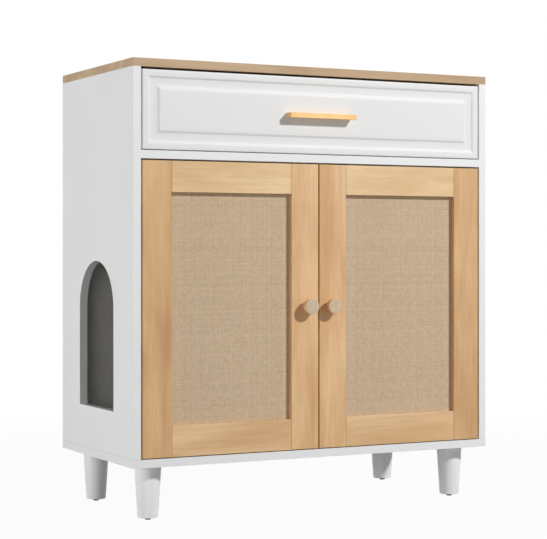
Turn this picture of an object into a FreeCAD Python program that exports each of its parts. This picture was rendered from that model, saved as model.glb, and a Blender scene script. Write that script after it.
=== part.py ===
import FreeCAD, Part
import math
import os
import Sketcher
from FreeCAD import Placement, Rotation, Vector

# Cat litter box cabinet. Row frame: +Z up, the front faces -Y, origin on the floor under the middle of
# the whole object. All sizes in millimetres.

DIMENSIONS = (
    ("cabinet_width", 800, "outer width over both side panels"),
    ("cabinet_depth", 386, "front plane of the doors to the back"),
    ("body_height", 778, "underside of the bottom board to the top surface"),
    ("board", 16, "thickness of every carcass board"),
    ("leg_height", 102.4, "wooden leg alone"),
    ("leg_top_radius", 26.5, "leg under the bottom board"),
    ("leg_foot_radius", 20, "leg at its lower end"),
    ("leg_inset_side", 54, "leg axis from the side face"),
    ("leg_inset_front", 57, "front leg axis from the front plane"),
    ("leg_inset_rear", 53, "rear leg axis from the back"),
    ("glide_height", 4.6, "nail-on glide below the leg"),
    ("glide_radius", 6, "nail-on glide"),
    ("nail_radius", 1.2, "nail of the glide"),
    ("nail_length", 12, "nail of the glide in the leg"),
    ("hanger_radius", 4, "M8 hanger bolt"),
    ("hanger_in_leg", 26, "hanger bolt length inside the leg"),
    ("insert_radius", 6, "threaded insert in the bottom board"),
    ("insert_depth", 13, "threaded insert in the bottom board"),
    ("shelf_underside", 587.5, "divider shelf above the body underside"),
    ("back_board", 5, "thickness of the back panel"),
    ("back_rebate", 8, "width of the rebate that takes the back panel"),
    ("arch_width", 184, "cat entrance, clear width"),
    ("arch_sill", 100, "cat entrance sill above the body underside"),
    ("arch_spring", 300, "where the entrance turns into a half circle"),
    ("arch_axis", 192, "middle of the entrance behind the front plane"),
    ("bolt_front", 50, "front fixing row behind the front plane"),
    ("bolt_rear", 326, "rear fixing row behind the front plane"),
    ("dowel_front", 82, "front dowel row behind the front plane"),
    ("dowel_rear", 294, "rear dowel row behind the front plane"),
    ("dowel_radius", 4, "wood dowel"),
    ("dowel_length", 30, "wood dowel"),
    ("dowel_seat", 10, "dowel depth in the face of a board"),
    ("cam_radius", 7.5, "cam lock"),
    ("cam_depth", 12.5, "cam lock"),
    ("cam_reach", 24, "cam axis from the end of its board"),
    ("slot_half_length", 4.5, "driver slot of the cam lock"),
    ("slot_half_width", 0.8, "driver slot of the cam lock"),
    ("slot_depth", 1.8, "driver slot of the cam lock"),
    ("bolt_radius", 3.5, "cam bolt shank"),
    ("bolt_thread", 2.5, "cam bolt thread"),
    ("bolt_seat", 11, "cam bolt thread depth"),
    ("bolt_bore", 4, "hole for the cam bolt in the end of a board"),
    ("bolt_past_cam", 4, "the bore goes this far past the cam axis"),
    ("screw_radius", 1.5, "fitting screw shank"),
    ("screw_length", 10, "fitting screw under its head"),
    ("screw_head", 3.2, "fitting screw head radius"),
    ("screw_head_height", 1.2, "fitting screw low head"),
    ("back_screw_length", 16, "countersunk back panel screw"),
    ("back_screw_head", 3, "countersunk back panel screw, head radius"),
    ("door_thickness", 16, "doors and drawer front"),
    ("door_side_gap", 3, "door or drawer front to side panel"),
    ("door_centre_gap", 3, "between the doors"),
    ("door_bottom_gap", 2, "door to bottom board"),
    ("door_top_gap", 3, "door to divider shelf"),
    ("frame_width", 60, "stiles and rails of the doors"),
    ("frame_round", 2, "rounding of the hinge edge"),
    ("frame_ease", 0.8, "small rounding of the other front edges"),
    ("panel_recess", 10.5, "woven sheet behind the front of the door"),
    ("panel_lap", 8, "rebate behind the lip of the door frame"),
    ("cloth", 0.8, "woven sheet"),
    ("backing", 3, "board that the sheet is stretched on"),
    ("tenon_length", 12, "stub tenon of a rail"),
    ("tenon_thickness", 6, "stub tenon of a rail"),
    ("tenon_shoulder", 12, "rail edge to tenon"),
    ("knob_radius", 15.75, "round knob"),
    ("knob_projection", 22.5, "knob in front of the door"),
    ("knob_neck_radius", 9, "knob where it meets the door"),
    ("knob_neck", 5.5, "height of the knob's neck below its flare"),
    ("knob_step", 0.4, "flat ring between the knob's neck and its flare"),
    ("knob_bevel", 1.2, "edge of the knob face"),
    ("knob_inset", 25, "knob axis from the meeting edge"),
    ("knob_screw_radius", 2, "M4 knob screw"),
    ("knob_screw_in_knob", 13, "M4 screw length inside the knob"),
    ("hinge_inset", 100, "cup axis from the door end"),
    ("cup_radius", 17.5, "35 mm hinge cup"),
    ("cup_wall", 1, "hinge cup"),
    ("cup_floor", 0.8, "hinge cup"),
    ("cup_depth", 11.5, "hinge cup in the door"),
    ("cup_edge", 3.5, "door edge to cup"),
    ("cup_flange", 1.2, "hinge cup flange"),
    ("pin_from_panel", 11.5, "hinge pin axis from the side panel"),
    ("pin_from_front", 8.2, "hinge pin axis behind the front plane"),
    ("pin_radius", 1.25, "hinge pin"),
    ("pin_length", 21.4, "hinge pin"),
    ("eye_bore", 1.3, "rolled eye round the pin"),
    ("eye_radius", 2.5, "rolled eye round the pin"),
    ("strip", 1.2, "thickness of the goose-neck strip"),
    ("neck_width", 12, "width of the goose neck"),
    ("neck_reach", 23, "far limb of the goose neck from the side panel"),
    ("neck_back", 21.2, "limb that passes behind the door edge"),
    ("arm_plane", 5, "arm from the side panel"),
    ("arm_end", 62, "arm behind the front plane"),
    ("arm_width", 18, "hinge arm"),
    ("plate_screw_row", 37, "mounting plate screws behind the front plane"),
    ("plate_screw_half", 16, "mounting plate screws above and below the middle"),
    ("arm_screw_row", 52, "arm screw behind the front plane"),
    ("plate_wing", 2, "mounting plate wings"),
    ("drawer_bottom_gap", 1.5, "drawer front to shelf"),
    ("drawer_top_gap", 4.5, "drawer front to top board"),
    ("band_outer", 15, "edge of the drawer front to the sunk band"),
    ("band_inner", 33, "edge of the drawer front to the raised field"),
    ("band_depth", 3, "sunk band"),
    ("band_outer_slope", 2, "slope at the outer side of the band"),
    ("band_inner_slope", 2.6, "slope at the raised field"),
    ("drawer_side", 12, "drawer box sides and rear board"),
    ("drawer_height", 110, "drawer box sides"),
    ("drawer_depth", 330, "drawer box sides"),
    ("drawer_lift", 14, "drawer box above the shelf"),
    ("drawer_floor", 4, "drawer bottom"),
    ("floor_groove", 6, "depth of the groove for the drawer bottom"),
    ("floor_lift", 10, "groove above the lower edge of the drawer sides"),
    ("corner_dowel_low", 32, "lower drawer dowels above the lower edge"),
    ("corner_dowel_high", 86, "upper drawer dowels above the lower edge"),
    ("corner_dowel_seat", 9, "drawer dowels in the face of a board"),
    ("corner_dowel_length", 28, "drawer dowels"),
    ("handle_width", 148, "finger pull"),
    ("handle_height", 10.5, "front of the finger pull"),
    ("handle_root", 6.5, "finger pull where it meets the drawer"),
    ("handle_projection", 22, "finger pull"),
    ("handle_top", 81.3, "top of the finger pull above the shelf"),
    ("handle_screw_half", 48, "finger pull screws either side of the middle"),
    ("handle_screw_radius", 1.75, "finger pull screws"),
    ("handle_screw_in", 14, "finger pull screws inside the pull"),
    ("slide_gap", 12.7, "room for a slide beside the drawer"),
    ("slide_length", 300, "both members of a slide"),
    ("slide_front", 19, "slide behind the front plane"),
    ("slide_height", 55, "slide axis above the lower edge of the drawer"),
    ("slide_web", 1.2, "web of the slide members"),
    ("slide_flange", 2.4, "flange of the slide members at the lips"),
    ("outer_half", 20.6, "half height of the cabinet member"),
    ("outer_lip", 10.2, "cabinet member, lip from the panel"),
    ("inner_half", 15.8, "half height of the drawer member"),
    ("inner_lip", 3.7, "drawer member, lip from the panel"),
    ("ball_radius", 2.5, "slide ball"),
    ("race_radius", 2.8, "corners of the ball race in both members"),
    ("ball_plane", 7, "ball row from the panel"),
    ("ball_half", 17, "ball rows above and below the slide axis"),
    ("cage_near", 2.75, "cage web from the panel"),
    ("cage_far", 9.6, "cage lips from the panel"),
    ("cage_web", 0.6, "cage web"),
    ("cage_lip", 0.8, "cage lips"),
    ("cage_length", 70, "ball cage"),
    ("cage_start", 115, "cage behind the front end of the slide"),
    ("ball_hole", 2.55, "hole in the cage"),
    ("ball_pitch", 17.5, "balls along the cage"),
    ("catch_half", 20, "magnetic catch case, half width"),
    ("catch_ear", 32, "catch ears, half width"),
    ("catch_height", 14, "catch case below the shelf"),
    ("catch_front", 18.6, "catch case behind the front plane"),
    ("catch_rear", 36, "catch case behind the front plane"),
    ("magnet_front", 18.1, "magnet face behind the front plane"),
    ("strike_thickness", 1.5, "strike plate"),
    ("strike_width", 14, "strike plate"),
    ("strike_height", 26, "strike plate"),
)

BALLS_IN_A_ROW = 3
# Small hidden holes and fasteners are plain prisms; these are their numbers of sides.
SCREW_SIDES, PEG_SIDES, DRUM_SIDES, PIN_SIDES, GLIDE_SIDES = 4, 6, 8, 12, 12
CUP_SIDES, LEG_SIDES, KNOB_SIDES = 16, 24, 32
PIN_FLATS = 1 / math.cos(math.pi / PIN_SIDES)
PEG_FLATS = 1 / math.cos(math.pi / PEG_SIDES)
SCREW_COLUMNS = ("-200", "200")

# Named places, each worked out from the sheet.
FRONT = "(dims.knob_projection - dims.cabinet_depth) / 2"
INNER = "(dims.cabinet_width / 2 - dims.board)"
UNDERSIDE = "(dims.leg_height + dims.glide_height)"
FLOOR = f"({UNDERSIDE} + dims.board)"
PANEL_HEIGHT = "(dims.body_height - 2 * dims.board)"
SHELF_LOW = f"({UNDERSIDE} + dims.shelf_underside)"
SHELF_TOP = f"({SHELF_LOW} + dims.board)"
TOP_LOW = f"({UNDERSIDE} + dims.body_height - dims.board)"
SHELF_IN_PANEL = "(dims.shelf_underside - dims.board / 2)"
DOOR_HEIGHT = "(dims.shelf_underside - dims.board - dims.door_bottom_gap - dims.door_top_gap)"
DOOR_WIDTH = f"({INNER} - dims.door_side_gap - dims.door_centre_gap / 2)"
DOOR_LOW = f"({FLOOR} + dims.door_bottom_gap)"
DRAWER_FRONT_HEIGHT = ("(dims.body_height - 2 * dims.board - dims.shelf_underside"
                       " - dims.drawer_bottom_gap - dims.drawer_top_gap)")
DRAWER_HALF = f"({INNER} - dims.slide_gap)"
BOX_LOW = f"({SHELF_TOP} + dims.drawer_lift)"
BEHIND_DOOR = f"({FRONT} + dims.door_thickness)"
NECK_EDGE = f"2.05 * dims.knob_neck_radius * {math.sin(math.pi / KNOB_SIDES):.6f}"
ROWS = ("dims.bolt_front", "dims.bolt_rear")
DOWEL_ROWS = ("dims.dowel_front", "dims.dowel_rear")
UP, DOWN = Vector(0, 0, 1), Vector(0, 0, -1)
RIGHTWARD, LEFTWARD = Vector(1, 0, 0), Vector(-1, 0, 0)
FORWARD, BACKWARD = Vector(0, -1, 0), Vector(0, 1, 0)

doc = FreeCAD.newDocument("litter_cabinet")
sheet = doc.addObject("Spreadsheet::Sheet", "dims")
pieces = []


def fill_sheet():
    """Writes each driving dimension as a plain number with its alias and its meaning."""
    for row, (alias, value, meaning) in enumerate(DIMENSIONS, start=1):
        sheet.set(f"A{row}", alias)
        sheet.set(f"B{row}", str(value))
        sheet.set(f"C{row}", meaning)
        sheet.setAlias(f"B{row}", alias)
    doc.recompute()


def number(expression):
    """The value of an expression over the sheet."""
    return float(sheet.evalExpression(expression))


def point(x, y, z):
    """A vector from three expressions."""
    return Vector(number(x), number(y), number(z))


# ---- sketches and features -------------------------------------------------------------------------

def body(label, x="0", y="0", z="0", half_turn=False, kept=True):
    """A new body placed by expressions; a half turn about Y makes the right-hand twin."""
    piece = doc.addObject("PartDesign::Body", label)
    piece.Label = label
    if half_turn:
        piece.Placement = Placement(Vector(), Rotation(Vector(0, 1, 0), 180))
    for axis, expression in zip("xyz", (x, y, z)):
        if expression != "0":
            piece.setExpression(f"Placement.Base.{axis}", expression)
    if kept:
        pieces.append(piece)
    return piece


def sketch_on(piece, role, offset="0"):
    """A sketch on one of the body's own origin planes, moved along its normal by an expression."""
    sketch = piece.newObject("Sketcher::SketchObject", "profile")
    plane = next(item for item in piece.Origin.OriginFeatures if item.Role == role)
    sketch.AttachmentSupport = (plane, [""])
    sketch.MapMode = "FlatFace"
    if offset != "0":
        sketch.setExpression("AttachmentOffset.Base.z", offset)
    return sketch


def pin_point(sketch, geometry, end, x, y):
    """Ties a point of the sketch to its origin by two expressions."""
    for axis, kind, expression in ((-2, "DistanceX", x), (-1, "DistanceY", y)):
        if expression == "0":
            sketch.addConstraint(Sketcher.Constraint("PointOnObject", geometry, end, axis))
            continue
        rule = Sketcher.Constraint(kind, -1, 1, geometry, end, number(expression))
        index = sketch.addConstraint(rule)
        sketch.setExpression(f"Constraints[{index}]", expression)


def polygon(sketch, corners):
    """A closed outline of straight lines through corners given as pairs of expressions."""
    spots = [Vector(number(x), number(y), 0) for x, y in corners]
    first = sketch.GeometryCount
    for start, stop in zip(spots, spots[1:] + spots[:1]):
        sketch.addGeometry(Part.LineSegment(start, stop), False)
    for index, (x, y) in enumerate(corners):
        line = first + index
        following = first + (index + 1) % len(corners)
        sketch.addConstraint(Sketcher.Constraint("Coincident", line, 2, following, 1))
        pin_point(sketch, line, 1, x, y)
    return sketch


def rectangle(sketch, left, low, right, high):
    """A rectangle between two corners given as expressions."""
    return polygon(sketch, ((left, low), (right, low), (right, high), (left, high)))


def prism_outline(sketch, x, y, radius, sides, upright=False):
    """A regular polygon with its corners on a circle. Flats face the axes where the number of sides
    allows; a six-sided one has corners along the first axis, or along the second if upright."""
    start = math.pi / sides if sides % 4 == 0 else upright * math.pi / 2
    turns = [start + 2 * math.pi * index / sides for index in range(sides)]
    return polygon(sketch, [(stepped(x, radius, math.cos(turn)), stepped(y, radius, math.sin(turn)))
                            for turn in turns])


def stepped(base, radius, share):
    """The expression of a base value and a share of a radius."""
    if abs(share) < 1e-9:
        return base
    return f"{base} + ({radius}) * {share:.6f}"


def arch(sketch, centre, width, sill, spring):
    """The entrance: straight jambs on a sill, closed by a half circle."""
    half = f"({width} / 2)"
    left, right = f"{centre} - {half}", f"{centre} + {half}"
    corners = ((left, spring), (left, sill), (right, sill), (right, spring))
    spots = [Vector(number(x), number(y), 0) for x, y in corners]
    first = sketch.GeometryCount
    for start, stop in zip(spots, spots[1:]):
        sketch.addGeometry(Part.LineSegment(start, stop), False)
    for index in (0, 1):
        sketch.addConstraint(Sketcher.Constraint("Coincident", first + index, 2, first + index + 1, 1))
    for index, (x, y) in enumerate(corners[:3]):
        pin_point(sketch, first + index, 1, x, y)
    pin_point(sketch, first + 2, 2, *corners[3])
    top = Vector(number(centre), number(f"{spring} + {half}"), 0)
    crown = sketch.addGeometry(Part.Arc(spots[3], top, spots[0]), False)
    sketch.addConstraint(Sketcher.Constraint("Coincident", crown, 1, first + 2, 2))
    sketch.addConstraint(Sketcher.Constraint("Coincident", crown, 2, first, 1))
    level = Sketcher.Constraint("DistanceY", -1, 1, crown, 3, number(spring))
    sketch.setExpression(f"Constraints[{sketch.addConstraint(level)}]", spring)
    return sketch


def pad(piece, sketch, length, backwards=False, both_ways=False):
    """Extrudes a sketch along its normal, against it, or half each way."""
    feature = piece.newObject("PartDesign::Pad", "pad")
    feature.Profile = (sketch, [""])
    feature.setExpression("Length", length)
    feature.Reversed = backwards
    feature.Midplane = both_ways
    return feature


def pocket(piece, sketch, depth, along_normal=False, both_ways=False):
    """Cuts a sketch into the body and makes sure that material went."""
    doc.recompute()
    before = piece.Shape.Volume
    feature = piece.newObject("PartDesign::Pocket", "pocket")
    feature.Profile = (sketch, [""])
    feature.setExpression("Length", depth)
    feature.Reversed = along_normal
    feature.Midplane = both_ways
    doc.recompute()
    if piece.Shape.Volume >= before - 1e-6:
        raise RuntimeError(f"{piece.Label}: a pocket removed nothing")
    return feature


def drill(piece, role, offset, spots, radius, depth, along_normal=False, sides=SCREW_SIDES):
    """Blind holes of one size, sunk from one plane to fit a fastener with as many sides."""
    sketch = sketch_on(piece, role, offset)
    for x, y in spots:
        prism_outline(sketch, x, y, radius, sides, upright=role == "YZ_Plane")
    return pocket(piece, sketch, depth, along_normal)


def frustum(piece, sides, start, stop):
    """A straight-sided loft along the body's Z axis between two ends of corner radius and height."""
    first, last = [prism_outline(sketch_on(piece, "XY_Plane", height), "0", "0", radius, sides)
                   for radius, height in (start, stop)]
    feature = piece.newObject("PartDesign::AdditiveLoft", "loft")
    feature.Profile = (first, [""])
    feature.Sections = [(last, [""])]
    feature.Ruled = True
    return feature


def widen(piece, angle):
    """Slants the walls of a prism outwards from its foot at z = 0."""
    doc.recompute()
    base = piece.Tip
    foot, walls = [], []
    for index, face in enumerate(base.Shape.Faces, start=1):
        slope = face.normalAt(0, 0).z
        if abs(slope) < 0.01:
            walls.append(f"Face{index}")
        elif slope < 0:
            foot.append(f"Face{index}")
    feature = piece.newObject("PartDesign::Draft", "draft")
    feature.Base = (base, walls)
    feature.NeutralPlane = (base, foot)
    feature.setExpression("Angle", angle)
    doc.recompute()
    grown = feature.Shape.Volume > base.Shape.Volume
    feature.Reversed = not grown
    doc.recompute()
    return feature


def stack(label, *steps):
    """A fastener of prisms on one axis; each step is sides, corner radius, lower and upper end."""
    piece = body(label, kept=False)
    for sides, radius, low, high in steps:
        outline = prism_outline(sketch_on(piece, "XY_Plane", low), "0", "0", radius, sides)
        pad(piece, outline, f"{high} - ({low})")
    return piece


def soften(piece, kind, size, chosen):
    """Rounds (Fillet) or bevels (Chamfer) the edges of the body that a test picks."""
    doc.recompute()
    base = piece.Tip
    names = [f"Edge{index}" for index, edge in enumerate(base.Shape.Edges, start=1) if chosen(edge)]
    if not names:
        raise RuntimeError(f"{piece.Label}: no edge to soften")
    feature = piece.newObject(f"PartDesign::{kind}", kind.lower())
    feature.Base = (base, names)
    feature.setExpression("Radius" if kind == "Fillet" else "Size", size)
    doc.recompute()
    return feature


def on(**where):
    """A test for edges whose ends all lie at the given local coordinates."""
    wanted = {axis.upper(): number(expression) for axis, expression in where.items()}

    def test(edge):
        return all(abs(getattr(vertex, axis) - value) < 0.01
                   for vertex in edge.Vertexes for axis, value in wanted.items())
    return test


def any_of(*tests):
    """A test that accepts what any of several tests accepts."""
    return lambda edge: any(test(edge) for test in tests)


def group(label, shapes):
    """Several separate solids that share one node."""
    piece = doc.addObject("Part::Feature", label)
    piece.Label = label
    piece.Shape = Part.makeCompound(shapes)
    piece.Placement = Placement()
    pieces.append(piece)
    return piece


def copies(pattern, places):
    """The pattern's solid set down at each place."""
    solids = []
    for place in places:
        solid = pattern.Shape.copy()
        solid.Placement = place.multiply(solid.Placement)
        solids.append(solid)
    return solids


def aimed(spot, direction):
    """A place whose local +Z points along a direction."""
    return Placement(spot, Rotation(Vector(0, 0, 1), direction))


def mirrored_place(spot, side):
    """The place of a left-hand fitting, or of its right-hand twin by a half turn about Y."""
    turn = Rotation() if side < 0 else Rotation(Vector(0, 1, 0), 180)
    return Placement(spot, turn)


# ---- fastener patterns -----------------------------------------------------------------------------

def fitting_screw():
    """Low-head wood screw: head above z = 0, shank below."""
    return stack("fitting_screw_pattern",
                 (SCREW_SIDES, "dims.screw_radius", "-dims.screw_length", "0"),
                 (PEG_SIDES, "dims.screw_head", "0", "dims.screw_head_height"))


def countersunk_screw():
    """Back panel screw with a tapered head flush with z = 0."""
    grown = "(dims.back_screw_head - dims.screw_radius)"
    screw = stack("back_screw_pattern",
                  (PEG_SIDES, "dims.screw_radius", "-dims.back_screw_length", f"-{grown}"))
    frustum(screw, PEG_SIDES, ("dims.screw_radius", f"-{grown}"),
            (f"dims.screw_radius + {grown} * {PEG_FLATS:.6f}", "0"))
    return screw


def machine_screw(label, radius, length):
    """Machine screw of a given shank: head above z = 0."""
    return stack(label, (SCREW_SIDES, radius, f"-{length}", "0"),
                 (PEG_SIDES, f"2 * {radius}", "0", f"1.2 * {radius}"))


def dowel(label, length):
    """Wood dowel standing on z = 0."""
    return stack(label, (PEG_SIDES, "dims.dowel_radius", "0", length))


def cam_bolt():
    """Cam bolt: thread below z = 0, shank above."""
    return stack("cam_bolt_pattern", (SCREW_SIDES, "dims.bolt_thread", "-dims.bolt_seat", "0"),
                 (PEG_SIDES, "dims.bolt_radius", "0", "(dims.cam_reach + 2)"))


def cam_lock():
    """Cam lock below z = 0: a drum with the bolt's way in from -X and a driver slot."""
    cam = stack("cam_lock_pattern", (DRUM_SIDES, "dims.cam_radius", "-dims.cam_depth", "0"))
    way_in = rectangle(sketch_on(cam, "YZ_Plane", "-dims.cam_radius"), "-dims.bolt_bore",
                       "-(dims.board / 2 + dims.bolt_bore)", "dims.bolt_bore",
                       "dims.bolt_bore - dims.board / 2")
    pocket(cam, way_in, "dims.cam_radius + dims.bolt_past_cam", along_normal=True)
    slot = rectangle(sketch_on(cam, "XY_Plane"), "-dims.slot_half_length", "-dims.slot_half_width",
                     "dims.slot_half_length", "dims.slot_half_width")
    pocket(cam, slot, "dims.slot_depth")
    return cam


# ---- carcass ---------------------------------------------------------------------------------------

def fixing_spots(x):
    """Cam bolt spots of a board edge, front and rear."""
    return [(x, row) for row in ROWS]


def dowel_spots(x):
    """Dowel spots of a board edge, front and rear."""
    return [(x, row) for row in DOWEL_ROWS]


def both_edges(spots_of):
    """The same row of spots over both side panels."""
    half = "(dims.cabinet_width / 2 - dims.board / 2)"
    return spots_of(half) + spots_of(f"-{half}")


def flat_board(label, z, faces_up):
    """Top or bottom board: full width, holes in the face that meets the side panels."""
    board = body(label, "0", FRONT, z)
    half = "dims.cabinet_width / 2"
    pad(board, rectangle(sketch_on(board, "XY_Plane"), f"-{half}", "0", half, "dims.cabinet_depth"),
        "dims.board")
    face = "dims.board" if faces_up else "0"
    lap = f"({INNER} + dims.back_rebate)"
    rebate = rectangle(sketch_on(board, "XY_Plane", face), f"-{lap}", "dims.cabinet_depth",
                       lap, "dims.cabinet_depth - dims.back_board")
    pocket(board, rebate, "dims.back_rebate", along_normal=not faces_up)
    drill(board, "XY_Plane", face, both_edges(fixing_spots), "dims.bolt_thread", "dims.bolt_seat",
          not faces_up)
    drill(board, "XY_Plane", face, both_edges(dowel_spots), "dims.dowel_radius", "dims.dowel_seat",
          not faces_up, PEG_SIDES)
    ledge = "dims.board - dims.back_rebate / 2" if faces_up else "dims.back_rebate / 2"
    drill_behind(board, [(x, ledge) for x in SCREW_COLUMNS])
    return board


def drill_behind(board, spots):
    """Pilot holes for the back panel screws; the spots are X and height in the board."""
    drill(board, "XZ_Plane", "dims.back_board - dims.cabinet_depth", spots, "dims.screw_radius",
          "dims.back_screw_length - dims.back_board", True, PEG_SIDES)


def leg_spots():
    """Leg axes measured from the middle of the front plane."""
    x = "(dims.cabinet_width / 2 - dims.leg_inset_side)"
    rear = "(dims.cabinet_depth - dims.leg_inset_rear)"
    return {"front_left": (f"-{x}", "dims.leg_inset_front"), "front_right": (x, "dims.leg_inset_front"),
            "rear_left": (f"-{x}", rear), "rear_right": (x, rear)}


def side_panel(label, side):
    """Side panel with its rebate, its fixing holes and, on the left, the arched entrance."""
    outer = "0" if side < 0 else "dims.board"
    inner = "dims.board" if side < 0 else "0"
    inwards = side > 0
    x = "-dims.cabinet_width / 2" if side < 0 else INNER
    panel = body(label, x, FRONT, FLOOR)
    outline = rectangle(sketch_on(panel, "YZ_Plane"), "0", "0", "dims.cabinet_depth", PANEL_HEIGHT)
    if side < 0:
        arch(outline, "dims.arch_axis", "dims.arch_width", "(dims.arch_sill - dims.board)",
             "(dims.arch_spring - dims.board)")
    pad(panel, outline, "dims.board")
    deep = f"{inner} + ({side}) * dims.back_rebate"
    rebate = rectangle(sketch_on(panel, "XY_Plane"), inner, "dims.cabinet_depth - dims.back_board",
                       deep, "dims.cabinet_depth")
    pocket(panel, rebate, PANEL_HEIGHT, along_normal=True)
    ends = ("dims.cam_reach", f"({PANEL_HEIGHT} - dims.cam_reach)")
    drill(panel, "YZ_Plane", inner, [(row, end) for row in ROWS for end in ends], "dims.cam_radius",
          "dims.cam_depth", inwards, DRUM_SIDES)
    reach = "dims.cam_reach + dims.bolt_past_cam"
    stub = "dims.dowel_length - dims.dowel_seat"
    for end, upwards in (("0", True), (PANEL_HEIGHT, False)):
        drill(panel, "XY_Plane", end, fixing_spots("dims.board / 2"), "dims.bolt_bore", reach, upwards,
              PEG_SIDES)
        drill(panel, "XY_Plane", end, dowel_spots("dims.board / 2"), "dims.dowel_radius", stub, upwards,
              PEG_SIDES)
    drill(panel, "YZ_Plane", inner, [(row, SHELF_IN_PANEL) for row in ROWS], "dims.bolt_thread",
          "dims.bolt_seat", inwards)
    drill(panel, "YZ_Plane", inner, [(row, SHELF_IN_PANEL) for row in DOWEL_ROWS], "dims.dowel_radius",
          "dims.dowel_seat", inwards, PEG_SIDES)
    drill(panel, "YZ_Plane", inner, panel_screw_spots(), "dims.screw_radius", "dims.screw_length",
          inwards)
    ledge = f"{inner} + ({side}) * dims.back_rebate / 2"
    drill_behind(panel, [(ledge, f"({height} - dims.back_rebate)") for height in side_screw_heights()])
    soften(panel, "Fillet", "dims.frame_ease", on(x=outer, y="0"))
    return panel


def hinge_heights():
    """Heights of the two hinges above the foot of the side panel."""
    low = "(dims.door_bottom_gap + dims.hinge_inset)"
    high = f"(dims.door_bottom_gap + {DOOR_HEIGHT} - dims.hinge_inset)"
    return low, high


def slide_screw_rows():
    """Cabinet member screws, behind the front plane."""
    return [f"(dims.slide_front + {along})" for along in ("25", "dims.slide_length / 2",
                                                           "(dims.slide_length - 25)")]


def panel_screw_spots():
    """Fitting screws in the inner face of a side panel: hinge plates, hinge arms and slide."""
    spots = []
    for height in hinge_heights():
        for sign in ("-", "+"):
            spots.append(("dims.plate_screw_row", f"({height} {sign} dims.plate_screw_half)"))
        spots.append(("dims.arm_screw_row", height))
    rail = f"({BOX_LOW} + dims.slide_height - {FLOOR})"
    spots += [(row, rail) for row in slide_screw_rows()]
    return spots


def divider_shelf():
    """Shelf between the side panels, cam locks on its underside."""
    shelf = body("divider_shelf", "0", FRONT, SHELF_LOW)
    pad(shelf, rectangle(sketch_on(shelf, "XY_Plane"), f"-{INNER}", "0", INNER,
                         "dims.cabinet_depth - dims.back_board"), "dims.board")
    cam_x = f"({INNER} - dims.cam_reach)"
    drill(shelf, "XY_Plane", "0", fixing_spots(cam_x) + fixing_spots(f"-{cam_x}"), "dims.cam_radius",
          "dims.cam_depth", True, DRUM_SIDES)
    reach = "dims.cam_reach + dims.bolt_past_cam"
    stub = "dims.dowel_length - dims.dowel_seat"
    for end, rightwards in ((f"-{INNER}", True), (INNER, False)):
        drill(shelf, "YZ_Plane", end, [(row, "dims.board / 2") for row in ROWS], "dims.bolt_bore",
              reach, rightwards, PEG_SIDES)
        drill(shelf, "YZ_Plane", end, [(row, "dims.board / 2") for row in DOWEL_ROWS],
              "dims.dowel_radius", stub, rightwards, PEG_SIDES)
    drill(shelf, "XY_Plane", "0", [(x, y) for x, y in catch_screw_spots()], "dims.screw_radius",
          "dims.screw_length", True)
    drill_behind(shelf, [(x, "dims.board / 2") for x in SCREW_COLUMNS])
    soften(shelf, "Fillet", "dims.frame_ease", any_of(on(y="0", z="0"), on(y="0", z="dims.board")))
    return shelf


def back_screw_spots():
    """Back panel screws, X and height above its lower edge, all over a ledge behind the panel."""
    side = f"({INNER} + dims.back_rebate / 2)"
    top = f"({PANEL_HEIGHT} + 1.5 * dims.back_rebate)"
    shelf = f"({SHELF_IN_PANEL} + dims.back_rebate)"
    spots = [(f"{sign}{side}", height) for sign in ("-", "") for height in side_screw_heights()]
    for height in ("dims.back_rebate / 2", shelf, top):
        spots += [(x, height) for x in SCREW_COLUMNS]
    return spots


def side_screw_heights():
    """Back panel screws along a side panel, above the lower edge of the back panel."""
    return "90", f"({PANEL_HEIGHT} / 2 - 20)", f"({PANEL_HEIGHT} - 60)"


def back_panel():
    """Thin board in the rebate at the back, with countersunk screw holes."""
    edge = f"({INNER} + dims.back_rebate)"
    panel = body("back_panel", "0", f"{FRONT} + dims.cabinet_depth", f"{FLOOR} - dims.back_rebate")
    pad(panel, rectangle(sketch_on(panel, "XZ_Plane"), f"-{edge}", "0", edge,
                         f"{PANEL_HEIGHT} + 2 * dims.back_rebate"), "dims.back_board")
    drill(panel, "XZ_Plane", "0", back_screw_spots(), "dims.screw_radius", "dims.back_board", True,
          PEG_SIDES)
    rear_face = on(y="0")
    soften(panel, "Chamfer", "dims.back_screw_head - dims.screw_radius",
           lambda edge: rear_face(edge) and edge.Length < number("dims.back_screw_head"))
    return panel


def tapered_leg(label, spot):
    """Round tapered leg, bored for its hanger bolt and for the nail of its glide."""
    x, y = spot
    leg = body(label, x, f"{FRONT} + {y}", "dims.glide_height")
    outline = prism_outline(sketch_on(leg, "XY_Plane"), "0", "0", "dims.leg_foot_radius", LEG_SIDES)
    pad(leg, outline, "dims.leg_height")
    widen(leg, "atan((dims.leg_top_radius - dims.leg_foot_radius) / dims.leg_height)")
    drill(leg, "XY_Plane", "dims.leg_height", [("0", "0")], "dims.hanger_radius", "dims.hanger_in_leg",
          sides=PEG_SIDES)
    drill(leg, "XY_Plane", "0", [("0", "0")], "dims.nail_radius", "dims.nail_length", True)
    return leg


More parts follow.
